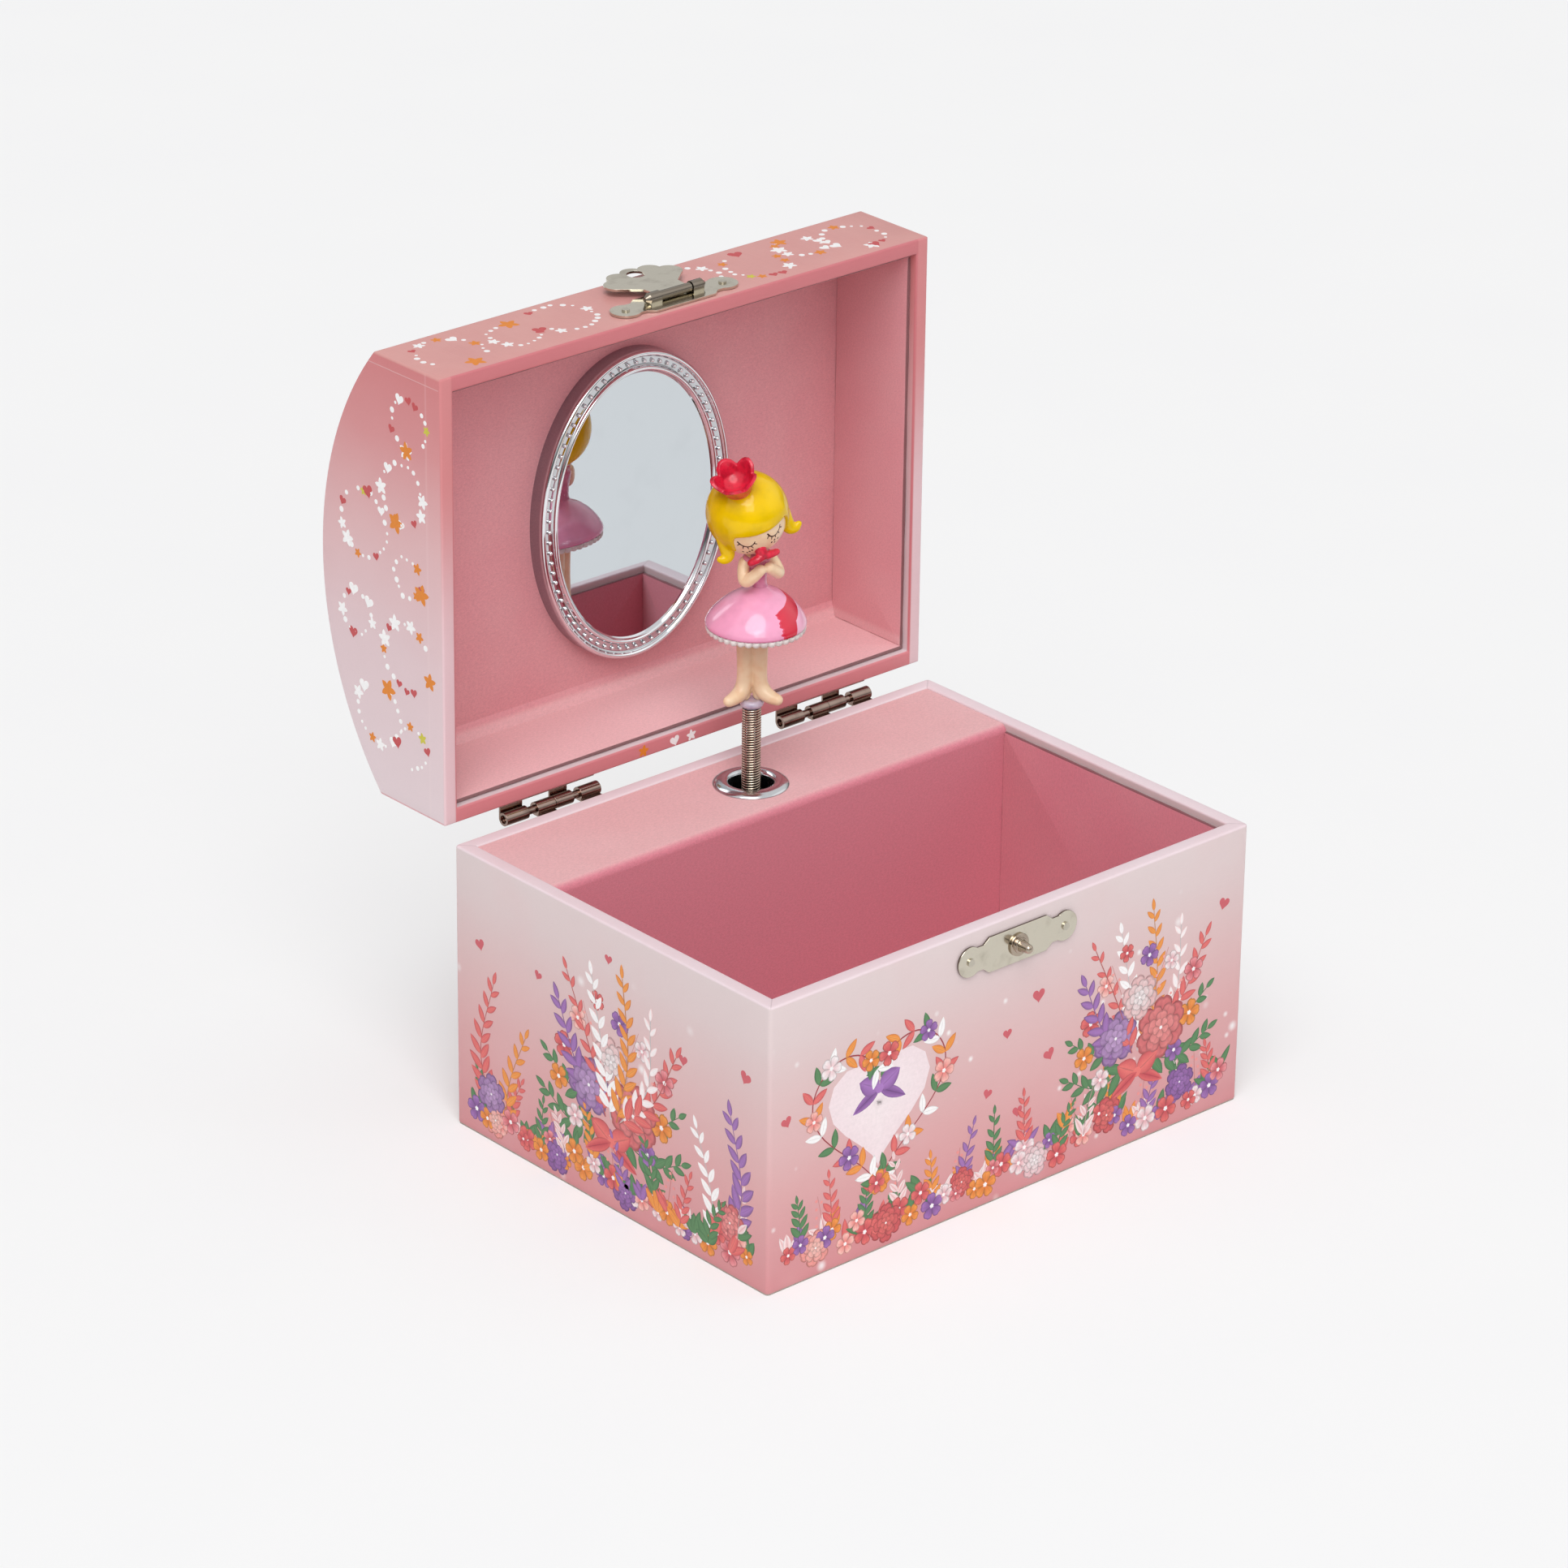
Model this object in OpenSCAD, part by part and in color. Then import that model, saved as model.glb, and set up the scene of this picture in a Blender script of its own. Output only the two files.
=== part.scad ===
// Ballerina jewellery box with a vaulted lid, a beaded mirror and a musical movement.
// Origin: centre of the underside. +X runs along the front, +Y towards the hinges, +Z up.

/* [Box] */
// Outside width, along the front
box_w = 155; // [140:1:190]
// Outside depth, front to back
box_d = 115; // [112:1:140]
// Height of the base, up to its rim
base_h = 75; // [72:1:95]
// Thickness of the wall boards
board_t = 3.4; // [2.8:0.1:4.2]
// Thickness of the paper wrap
paper_t = 0.3; // [0.2:0.05:0.4]
// Radius of the upright corners
corner_r = 1.2; // [1:0.1:1.4]
// Thickness of the floor board
floor_t = 3; // [2:0.5:5]
// Thickness of the flocked lining cards
lining_t = 1; // [0.8:0.1:1.6]
// Drop from the rim to the edge of the linings
lining_drop = 2; // [1:0.5:4]
// How far the paper is turned in behind the linings
turn_in = 9; // [5:1:14]

/* [Lid] */
// Height of the lid's straight walls
lid_wall_h = 25; // [22:1:32]
// Rise of the vault above the straight walls
vault_rise = 21.5; // [20:0.5:27]
// Thickness of the vault board
vault_t = 1.5; // [1.2:0.1:1.8]
// Depth of the lid's recess, from the rim to the flat ceiling
ceiling_depth = 28.2; // [27:0.1:30]
// Thickness of the ceiling board
ceiling_t = 1; // [0.8:0.1:1.4]
// Gap between the two rims when the lid is shut
rim_gap = 0.3; // [0.2:0.1:0.8]
// How far the lid stands open
lid_open = 90; // [0:1:90]

/* [Stage] */
// Depth of the stage, from its front edge to the back wall's inner face
stage_depth = 29.5; // [28:0.5:34]
// Drop from the rim to the stage's flocked top
stage_drop = 0.4; // [0.2:0.1:2]
// Thickness of the stage boards
stage_t = 2.4; // [1.8:0.1:3]
// Thickness of the flocked cover on the stage
flock_t = 0.6; // [0.4:0.1:1]
// Radius of the stage's soft front edge
stage_edge_r = 2.2; // [1.6:0.1:3]
// Distance of the spindle to the right of the box's middle
spindle_x = 1; // [-4:0.5:4]

/* [Mirror] */
// Width of the mirror frame
mirror_w = 61; // [50:1:66]
// Length of the mirror frame
mirror_l = 81; // [66:1:86]
// Depth of the mirror frame
mirror_t = 5; // [4:0.5:7]
// Width of the frame's ring
mirror_ring = 5.8; // [4:0.1:8]
// Thickness of the mirror glass
glass_t = 1.5; // [1:0.1:2]
// Mirror's offset to the right of the lid's middle
mirror_x = 3; // [-5:0.5:5]
// Mirror's offset from the lid's middle towards the hinges
mirror_y = 2.5; // [-3:0.5:3]

/* [Hinges and latch] */
// Distance from the box's middle to the middle of each hinge
hinge_x = 44.7; // [36:0.1:52]
// Length of a hinge
hinge_l = 29.6; // [24:0.1:34]
// Outside radius of the hinge knuckles
knuckle_r = 1.7; // [1.5:0.05:2]
// Radius of the hinge pins
hinge_pin_r = 1; // [0.8:0.05:1.1]
// Distance from the back face to the hinge axis
hinge_out = 3.2; // [2.6:0.1:4]
// Length of the two latch plates
latch_l = 38.4; // [34:0.1:44]
// Height of the two latch plates
latch_h = 9.2; // [8:0.1:11]
// Drop from the rim to the middle of the catch plate
catch_drop = 7.7; // [6.5:0.1:10]
// Height of the hasp's barrel above the lid's rim
hasp_rise = 6.4; // [6:0.1:9]
// Radius of the catch stud
stud_r = 1.7; // [1.4:0.1:1.9]
// Radius of the hole in the tongue
tongue_hole_r = 2.3; // [2.2:0.1:2.6]

/* [Dancer] */
// Height of the spring's top above the stage
spring_top = 20.9; // [17:0.1:22]
// Outside radius of the spring
spring_r = 2.4; // [2.2:0.1:2.8]
// Thickness of the spring wire
wire_d = 0.7; // [0.5:0.05:0.8]
// Radius of the skirt's hem
skirt_r = 12.4; // [10:0.1:13]
// Radius of the head
head_r = 9; // [8:0.1:9.2]
// Direction that the dancer faces, measured from the front
figure_yaw = -36; // [-180:1:180]
// Height above the stage at which the spring bends over
fold_rise = 9.4; // [9:0.1:11]

/* [Movement] */
// Module of the crown wheel and its two pinions
crown_m = 0.5; // [0.45:0.01:0.52]
// Module of the governor's gears
governor_m = 0.36; // [0.34:0.01:0.38]
// Height of the drum's axis above the underside
drum_z = 38; // [36:0.5:42]
// Radius of the pinned cylinder
cylinder_r = 6.5; // [6:0.1:7]
// Number of comb teeth
comb_teeth = 18; // [12:1:22]

/* [Hidden] */
$fn = 48;
CUT = 1; // How far a cutter reaches past what it cuts

// Box
hw = box_w / 2;
hd = box_d / 2;
wall_t = board_t + 2 * paper_t;
in_hw = hw - wall_t;
in_hd = hd - wall_t;
lining_z = base_h - lining_drop;
WRAP_LIFT = 0.2; // The paper stops this far above the table

// Lid, in its shut place
lid_z = base_h + rim_gap;
hinge_y = hd + hinge_out;
hinge_z = base_h + rim_gap / 2;
wall_top = lid_z + lid_wall_h;
vault_r = (hd * hd + vault_rise * vault_rise) / (2 * vault_rise);
vault_z = wall_top + vault_rise - vault_r;
ceiling_z = lid_z + ceiling_depth;
VAULT_SEAT = 2; // The vault board meets the wall boards this far below their corner
seat_z = wall_top - VAULT_SEAT;
vault_in_r = vault_r - paper_t - vault_t;
ceiling_hd = sqrt(pow(vault_in_r, 2) - pow(ceiling_z + ceiling_t - vault_z, 2)) - 0.1;

// Stage
stage_z = base_h - stage_drop;
stage_y = in_hd - stage_depth;
spindle_y = (stage_y + in_hd) / 2;
board_z = stage_z - flock_t;
GROMMET_R = 9.5;
GROMMET_BORE = 5.5;
GROMMET_TUBE = 6.4;
GROMMET_HOLE = 6.6;
GROMMET_H = 1.3;

// Latch
PLATE_T = 0.6;
LOBE_R = 0.42 * latch_h;
lobe_x = latch_l / 2 - LOBE_R;
LATCH_BODY = 18.6;
LATCH_SHOULDER = 1.9;
LATCH_NECK = 0.34 * latch_h;
BARREL_OUT = 1.9; // Height of the hasp's barrel over the face of the box
BARREL_R = 1.15;
EAR_R = 1.45;
EAR_IN = 5;
EAR_OUT = 8.3;
EAR_TIP = 1.1;
HASP_PIN_R = 0.5;
TONGUE_NECK = 4.8;
catch_z = base_h - catch_drop;
barrel_z = lid_z + hasp_rise;
tongue_reach = barrel_z - catch_z;

// Nails and screws
NAIL_R = 0.5;
NAIL_HEAD_R = 1;
NAIL_HEAD_T = 0.4;
NAIL_L = 3;
NAIL_PLAY = 0.05;
SCREW_R = 1.2;
SCREW_PLAY = 0.03;

// Hinges
LEAF_T = 0.5;
LEAF_H = 8.5;
KNUCKLES = [[0, 0.235], [0.33, 0.518], [0.523, 0.71], [0.79, 1]]; // Shares of the length
PIN_RECESS = 1;
MIRROR_LIP = 1.2;
MIRROR_REBATE = 2;
STUD_SHANK = 2.6;
leaf_nail_z = hinge_z - knuckle_r - LEAF_H / 2;
RUN = 0.05; // Radial play of a running fit
FIXED = 0.02; // Radial play of a fixed fit

// Dancer
spring_z = stage_z - 2.6;
spring_end = stage_z + spring_top;
fold_z = stage_z + fold_rise;
spring_in_r = spring_r - wire_d;
spigot_r = spring_in_r - 0.3;
BEAD_R = 3.05;
BEAD_H = 2.1;
BEAD_SINK = 0.6; // The bead stands this far into the soles
feet_z = spring_end + BEAD_H - BEAD_SINK;
LEG_H = 20.2;
WAIST_H = 30.4;
SKIRT_X = 0.8;
TRIM_H = 1.2;
TORSO_X = 1.7;
HEAD_H = 49.8;
HEAD_X = -1.6;
HEAD_TILT = -18;
HAIR_T = 1.1;
CROWN_H = 6.4;
function hand(side) = [side * 1.1, -4.6, 6.4]; // From the waist

// Movement
crown_n = 44;
spindle_n = 12;
tune_n = 22;
wheel_n = 36;
pinion_n = 12;
worm_wheel_n = 20;
WORM_STARTS = 2;
crown_r = crown_m * crown_n / 2;
pitch_y = spindle_y + crown_m * spindle_n / 2;
cylinder_y = pitch_y - crown_m * tune_n / 2;
ADDENDUM = 0.8; // In modules
DEDENDUM = 1.1; // In modules
ROOT_HALF = 0.24; // Half of a tooth at its root, in pitches
TIP_HALF = 0.1; // Half of a tooth at its tip, in pitches
BED_T = 2;
bed_y = in_hd + paper_t - BED_T;
ARBOR_R = 1.6;
DRUM_R = 12.2;
DRUM_WALL = 1.6;
DRUM_COVER = 0.8;
drum_front = pitch_y + DEDENDUM * crown_m;
drum_back = bed_y - 1;
CROWN_FACE = 2.4;
BRIDGE_T = 1.5;
bridge_y = cylinder_y - 4.75;
POSTS = [[-15.5, -9], [-15.5, 9], [3, -18]]; // From the drum's axis
POST_R = 2.2;
TAB_T = 1.5;
tab_z = drum_z + 5;
bracket_z = stage_z - 13;
ARBOR_TUNE_R = 0.8;
TOOTH_PITCH = 1.1;
cyl_x0 = spindle_x + crown_r + 3;
cyl_x1 = cyl_x0 + comb_teeth * TOOTH_PITCH + 1.2;
PIN_R = 0.22;
PIN_OUT = 0.5;
PIN_ROWS = 3;
COMB_T = 0.8;
COMB_SEAT = 7;
comb_top = drum_z - cylinder_r - PIN_OUT - 0.15;
comb_z = comb_top - 19;
WHEEL_T = 1.6;
wheel_x = cyl_x1 + 1.6;
PLATE_X = 0.8;
frame_x = wheel_x + WHEEL_T + 1;
FRAME_SPAN = 3.9;
worm_x = frame_x + PLATE_X + FRAME_SPAN / 2;
WORM_WHEEL_T = 0.7;
GOVERNOR_R = 0.6;
governor_z = drum_z + governor_m * (wheel_n + pinion_n) / 2;
WORM_R = 1.1;
worm_z = governor_z + governor_m * worm_wheel_n / 2 + WORM_R;
WORM_L = 4.8;
WORM_SHARES = [-0.5, -0.37, -ROOT_HALF, -TIP_HALF, 0, TIP_HALF, ROOT_HALF, 0.37];
worm_phase = 0;
worm_lead = WORM_STARTS * PI * governor_m;
FLY_R = 4.5;
FLY_W = 3;
FLY_ARBOR_R = 0.5;
FRONT_TAB = 1;
front_tab_y = cylinder_y - 4.35;
fly_y = front_tab_y - 0.7 - FLY_W;
BASE_T = 1.5;
bed_x0 = spindle_x - 19;
bed_x1 = frame_x + 2 * PLATE_X + FRAME_SPAN + 3;
bed_z0 = comb_z - 2;
bed_z1 = bracket_z + TAB_T + 2;
WALL_SCREWS = [[bed_x0 + 4, bed_z0 + 4], [bed_x1 - 4, bed_z0 + 4], [bed_x1 - 4, bed_z1 - 4]];
KEY_HUB_R = 3;
KEY_HUB_L = 6;
KEY_WING_R = 4;
KEY_WING_X = 6.5;
KEY_T = 1.8;
ARBOR_HOLE = 3;

// ---- Helpers ----

// Rectangle with round corners, centred
module round_rect(w, d, r) {
    square([w - 2 * r, d], center = true);
    square([w, d - 2 * r], center = true);
    for (x = [-1, 1], y = [-1, 1]) translate([x * (w / 2 - r), y * (d / 2 - r)]) circle(r);
}

// Extrudes a YZ outline along X, centred on x
module along_x(length, x = 0) {
    translate([x - length / 2, 0, 0]) rotate([90, 0, 90]) linear_extrude(length) children();
}

// Extrudes an XZ outline along Y, from y0 to y1
module along_y(y0, y1) {
    translate([0, y1, 0]) rotate([90, 0, 0]) linear_extrude(y1 - y0) children();
}

// Cylinder along X from x0 to x1
module rod_x(x0, x1, r) {
    translate([x0, 0, 0]) rotate([0, 90, 0]) cylinder(h = x1 - x0, r = r);
}

// Cylinder along Y from y0 to y1
module rod_y(y0, y1, r) {
    translate([0, y1, 0]) rotate([90, 0, 0]) cylinder(h = y1 - y0, r = r);
}

// The lid and what it carries, opened about the hinge axis
module lid_place() {
    translate([0, hinge_y, hinge_z]) rotate([-lid_open, 0, 0])
        translate([0, -hinge_y, -hinge_z]) children();
}

// The spring and the dancer, bent over as the lid shuts
module fold_place() {
    translate([0, spindle_y, fold_z]) rotate([90 - lid_open, 0, 0])
        translate([0, -spindle_y, -fold_z]) children();
}

// The dancer's own frame: feet on the bead, facing -Y before she is turned
module dancer_place() {
    fold_place() translate([spindle_x, spindle_y, feet_z]) rotate([0, 0, figure_yaw]) children();
}

// Puts a nail with its head on the face at y, on the front or the back
module back_nail_at(x, y, z) translate([x, y, z]) rotate([-90, 0, 0]) children();
module front_nail_at(x, y, z) translate([x, y, z]) rotate([90, 0, 0]) children();

module nail() {
    cylinder(h = NAIL_HEAD_T, r = NAIL_HEAD_R);
    translate([0, 0, -NAIL_L]) cylinder(h = NAIL_L + NAIL_HEAD_T / 2, r = NAIL_R);
}

module nail_hole() {
    translate([0, 0, -NAIL_L - NAIL_PLAY]) cylinder(h = NAIL_L + CUT, r = NAIL_R + NAIL_PLAY);
}

module screw(length, r = SCREW_R, head_r = 2.4, head_h = 1.3) {
    difference() {
        cylinder(h = head_h, r = head_r);
        translate([-head_r, -0.3, head_h - 0.6]) cube([2 * head_r, 0.6, CUT]);
    }
    translate([0, 0, -length]) cylinder(h = length + head_h / 3, r = r);
}

// ---- Base ----

module base_nail_places() {
    for (side = [-1, 1], end = [-1, 1])
        back_nail_at(side * hinge_x + end * hinge_l / 3, hd + LEAF_T, leaf_nail_z) children();
    for (side = [-1, 1]) front_nail_at(side * lobe_x, -hd - PLATE_T, catch_z) children();
}

module stud_place() front_nail_at(0, -hd - PLATE_T, catch_z) children();

module wall_screw_places() {
    for (p = WALL_SCREWS) back_nail_at(p[0], hd, p[1]) children();
}

// Everything that passes through the base's walls
module base_holes() {
    base_nail_places() nail_hole();
    stud_place() stud_hole();
    wall_screw_places() translate([0, 0, -wall_t - BED_T - CUT])
        cylinder(h = wall_t + BED_T + 2 * CUT, r = SCREW_R + SCREW_PLAY);
    translate([spindle_x, 0, drum_z]) rod_y(in_hd - CUT, hd + CUT, ARBOR_HOLE);
}

module board_ring() {
    difference() {
        round_rect(box_w - 2 * paper_t, box_d - 2 * paper_t, corner_r - paper_t);
        square([2 * (in_hw + paper_t), 2 * (in_hd + paper_t)], center = true);
    }
}

// One wall board: the part of the ring inside the rectangle from x, y
module base_wall(x, y, w, d) {
    color("tan") difference() {
        linear_extrude(base_h - paper_t) intersection() {
            board_ring();
            translate([x, y]) square([w, d]);
        }
        base_holes();
    }
}

module base_front_wall() base_wall(-hw, -hd, box_w, hd - in_hd - paper_t);
module base_back_wall() base_wall(-hw, in_hd + paper_t, box_w, hd - in_hd - paper_t);
module base_left_wall() {
    base_wall(-hw, -in_hd - paper_t, hw - in_hw - paper_t, 2 * (in_hd + paper_t));
}
module base_right_wall() {
    base_wall(in_hw + paper_t, -in_hd - paper_t, hw - in_hw - paper_t, 2 * (in_hd + paper_t));
}

module base_floor() {
    color("tan") translate([-in_hw - paper_t, -in_hd - paper_t, 0])
        cube([2 * (in_hw + paper_t), 2 * (in_hd + paper_t), floor_t]);
}

// The printed paper: over the walls, over the rim and a band turned in
module base_wrap() {
    color([0.88, 0.74, 0.75]) difference() {
        translate([0, 0, WRAP_LIFT]) linear_extrude(base_h - WRAP_LIFT)
            round_rect(box_w, box_d, corner_r);
        translate([0, 0, -CUT]) linear_extrude(base_h - paper_t + CUT) board_ring();
        translate([-in_hw, -in_hd, -CUT]) cube([2 * in_hw, 2 * in_hd, base_h + 2 * CUT]);
        translate([-in_hw - paper_t, -in_hd - paper_t, -CUT])
            cube([2 * (in_hw + paper_t), 2 * (in_hd + paper_t), base_h - turn_in + CUT]);
        base_holes();
    }
}

// Flocked cards: front, left, right and floor
module base_linings() {
    low = floor_t + lining_t;
    color([0.8, 0.49, 0.53]) {
        translate([-in_hw, -in_hd, low]) cube([2 * in_hw, lining_t, lining_z - low]);
        for (x = [-in_hw, in_hw - lining_t]) translate([x, -in_hd + lining_t, low])
            cube([lining_t, stage_y + in_hd - lining_t, lining_z - low]);
        translate([-in_hw, -in_hd, floor_t]) cube([2 * in_hw, stage_y + in_hd, lining_t]);
    }
}

// ---- Stage ----

module grommet_hole(z0, z1) {
    translate([spindle_x, spindle_y, z0 - CUT]) cylinder(h = z1 - z0 + 2 * CUT, r = GROMMET_HOLE);
}

module stage_top() {
    edge = stage_edge_r - flock_t;
    color("tan") difference() {
        along_x(2 * in_hw) difference() {
            translate([stage_y + flock_t, board_z - stage_t])
                square([in_hd - stage_y - flock_t, stage_t]);
            difference() {
                translate([stage_y, board_z - edge]) square([edge + flock_t, edge + CUT]);
                translate([stage_y + stage_edge_r, board_z - edge]) circle(edge);
            }
        }
        grommet_hole(board_z - stage_t, board_z);
    }
}

module stage_front() {
    color("tan") translate([-in_hw, stage_y + flock_t, floor_t])
        cube([2 * in_hw, stage_t, board_z - stage_t - floor_t]);
}

// Flocked skin over the front and the top, round at the edge
module stage_cover() {
    r = stage_edge_r;
    color([0.88, 0.64, 0.67]) difference() {
        along_x(2 * in_hw) difference() {
            union() {
                translate([stage_y, floor_t]) square([CUT, stage_z - floor_t - r]);
                translate([stage_y + r, stage_z - CUT]) square([in_hd - stage_y - r, CUT]);
                translate([stage_y + r, stage_z - r]) circle(r);
            }
            translate([stage_y + flock_t, floor_t - CUT])
                square([in_hd, stage_z - floor_t - r + CUT]);
            translate([stage_y + r, floor_t - CUT]) square([in_hd, board_z - floor_t + CUT]);
            translate([stage_y + r, stage_z - r]) circle(r - flock_t);
        }
        grommet_hole(board_z, stage_z);
    }
}

// Eyelet: round flange over the flock, tube through the boards, lip curled out below
module grommet() {
    low = board_z - stage_t - 1.2;
    color("silver") translate([spindle_x, spindle_y, 0]) rotate_extrude() {
        translate([GROMMET_BORE, low]) square([GROMMET_TUBE - GROMMET_BORE, stage_z - low]);
        translate([GROMMET_BORE, low]) square([GROMMET_HOLE + 1 - GROMMET_BORE, 0.6]);
        difference() {
            union() {
                translate([GROMMET_BORE + GROMMET_H, stage_z])
                    square([GROMMET_R - GROMMET_BORE - 2 * GROMMET_H, GROMMET_H]);
                for (x = [GROMMET_BORE + GROMMET_H, GROMMET_R - GROMMET_H])
                    translate([x, stage_z]) circle(GROMMET_H);
            }
            translate([0, stage_z - 2 * GROMMET_H]) square([2 * GROMMET_R, 2 * GROMMET_H]);
        }
    }
}

module grommet_washer() {
    z = board_z - stage_t - 0.6;
    color("silver") translate([spindle_x, spindle_y, z]) difference() {
        cylinder(h = 0.6, r = GROMMET_R - 0.5);
        translate([0, 0, -CUT]) cylinder(h = 0.6 + 2 * CUT, r = GROMMET_TUBE + RUN);
    }
}

// ---- Hinges, in the lid's shut place ----

function knuckle_x(side, i, end) = side * hinge_x - hinge_l / 2 + KNUCKLES[i][end] * hinge_l;

// A leaf with its own knuckles: up = 1 for the lid's leaf, -1 for the base's
module hinge_leaf(side, knuckles, up, play) {
    web_z = up > 0 ? knuckle_r - LEAF_T : -knuckle_r;
    leaf_z = up > 0 ? web_z : web_z - LEAF_H;
    color([0.36, 0.33, 0.31]) translate([0, 0, hinge_z]) difference() {
        union() {
            for (i = knuckles) {
                x0 = knuckle_x(side, i, 0);
                x1 = knuckle_x(side, i, 1);
                translate([0, hinge_y, 0]) rod_x(x0, x1, knuckle_r);
                translate([x0, hd, web_z]) cube([x1 - x0, hinge_out, LEAF_T]);
            }
            translate([side * hinge_x - hinge_l / 2, hd, leaf_z])
                cube([hinge_l, LEAF_T, LEAF_H + LEAF_T]);
        }
        translate([0, hinge_y, 0])
            rod_x(side * hinge_x - hinge_l, side * hinge_x + hinge_l, hinge_pin_r + play);
        for (end = [-1, 1]) translate([0, 0, up * (knuckle_r + LEAF_H / 2)])
            back_nail_at(side * hinge_x + end * hinge_l / 3, hd + LEAF_T, 0) nail_hole();
    }
}

module left_base_leaf() hinge_leaf(-1, [1, 3], -1, FIXED);
module right_base_leaf() hinge_leaf(1, [1, 3], -1, FIXED);
module left_lid_leaf() lid_place() hinge_leaf(-1, [0, 2], 1, RUN);
module right_lid_leaf() lid_place() hinge_leaf(1, [0, 2], 1, RUN);

module hinge_pins() {
    half = hinge_l / 2 - PIN_RECESS;
    color([0.42, 0.4, 0.38]) for (side = [-1, 1]) translate([0, hinge_y, hinge_z])
        rod_x(side * hinge_x - half, side * hinge_x + half, hinge_pin_r);
}

module base_nails() color([0.8, 0.79, 0.74]) base_nail_places() nail();

// ---- Latch ----

// Outline of both latch plates: a body with slanted shoulders and round lobes
module latch_outline() {
    x = LATCH_BODY / 2;
    polygon([
        [-x - LATCH_SHOULDER, -LATCH_NECK], [-x, -latch_h / 2], [x, -latch_h / 2],
        [x + LATCH_SHOULDER, -LATCH_NECK], [x + LATCH_SHOULDER, LATCH_NECK], [x, latch_h / 2],
        [-x, latch_h / 2], [-x - LATCH_SHOULDER, LATCH_NECK]
    ]);
    square([2 * lobe_x, 2 * LATCH_NECK], center = true);
    for (side = [-1, 1]) translate([side * lobe_x, 0]) circle(LOBE_R);
}

module catch_plate() {
    color([0.8, 0.79, 0.74]) difference() {
        translate([0, 0, catch_z]) along_y(-hd - PLATE_T, -hd) latch_outline();
        base_holes();
    }
}

module stud_hole() {
    translate([0, 0, -STUD_SHANK - FIXED]) cylinder(h = STUD_SHANK + CUT, r = 1 + FIXED);
}

// Riveted stud: flange, collar and a tapered pin with a round end
module catch_stud() {
    tip_r = 0.68 * stud_r;
    color([0.8, 0.78, 0.73]) stud_place() {
        translate([0, 0, -STUD_SHANK]) cylinder(h = STUD_SHANK + 0.3, r = 1);
        cylinder(h = 0.6, r = stud_r + 1.2);
        cylinder(h = 1.1, r = stud_r + 0.25);
        cylinder(h = 3.4, r1 = stud_r, r2 = tip_r);
        translate([0, 0, 3.4]) sphere(tip_r);
    }
}

// ---- Lid, in its shut place ----

// Outline of the lid across its depth, drawn inwards by inset
module lid_outline(inset) {
    intersection() {
        translate([-hd + inset, lid_z + inset])
            square([box_d - 2 * inset, lid_wall_h + vault_rise]);
        translate([0, vault_z]) circle(vault_r - inset, $fn = 96);
    }
}

module lid_nail_places() {
    for (side = [-1, 1], end = [-1, 1])
        back_nail_at(side * hinge_x + end * hinge_l / 3, hd + LEAF_T,
            hinge_z + knuckle_r + LEAF_H / 2) children();
    for (side = [-1, 1]) front_nail_at(side * lobe_x, -hd - PLATE_T, barrel_z) children();
}

module lid_wall(y0, y1) {
    color("tan") lid_place() difference() {
        along_x(2 * (in_hw + paper_t)) translate([y0, lid_z + paper_t])
            square([y1 - y0, seat_z - lid_z - paper_t]);
        lid_nail_places() nail_hole();
    }
}

module lid_front_wall() lid_wall(-hd + paper_t, -in_hd - paper_t);
module lid_back_wall() lid_wall(in_hd + paper_t, hd - paper_t);

module lid_end(x) color("tan") lid_place() along_x(board_t, x) lid_outline(paper_t);
module lid_left_end() lid_end(-hw + paper_t + board_t / 2);
module lid_right_end() lid_end(hw - paper_t - board_t / 2);

module lid_vault() {
    color("tan") lid_place() along_x(2 * (in_hw + paper_t)) difference() {
        lid_outline(paper_t);
        translate([0, vault_z]) circle(vault_in_r, $fn = 96);
        translate([-hd, lid_z]) square([box_d, seat_z - lid_z]);
    }
}

module lid_ceiling() {
    color([0.8, 0.49, 0.53]) lid_place() translate([-in_hw, -ceiling_hd, ceiling_z])
        cube([2 * in_hw, 2 * ceiling_hd, ceiling_t]);
}

// Flocked cards: front and back lean in to the ceiling, the two ends stand upright
module lid_linings() {
    low = lid_z + lining_drop;
    foot = in_hd - 0.1;
    color([0.8, 0.49, 0.53]) lid_place() {
        for (side = [-1, 1]) along_x(2 * in_hw) polygon([
            [side * foot, low], [side * (foot - lining_t), low],
            [side * (ceiling_hd - lining_t), ceiling_z], [side * ceiling_hd, ceiling_z]
        ]);
        for (side = [-1, 1]) along_x(lining_t, side * (in_hw - lining_t / 2)) polygon([
            [-foot + lining_t, low], [foot - lining_t, low],
            [ceiling_hd - lining_t, ceiling_z], [-ceiling_hd + lining_t, ceiling_z]
        ]);
    }
}

// The printed paper: over the vault, ends and walls, over the rim and a band turned in
module lid_wrap() {
    color([0.87, 0.6, 0.6]) lid_place() difference() {
        union() {
            difference() {
                along_x(box_w) lid_outline(0);
                along_x(box_w - 2 * paper_t) lid_outline(paper_t);
            }
            translate([-in_hw - paper_t, -in_hd - paper_t, lid_z])
                cube([2 * (in_hw + paper_t), 2 * (in_hd + paper_t), turn_in]);
        }
        translate([-in_hw, -in_hd, lid_z - CUT]) cube([2 * in_hw, 2 * in_hd, turn_in + 2 * CUT]);
        lid_nail_places() nail_hole();
    }
}

module lid_nails() color([0.8, 0.79, 0.74]) lid_place() lid_nail_places() nail();

// ---- Mirror ----

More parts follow.
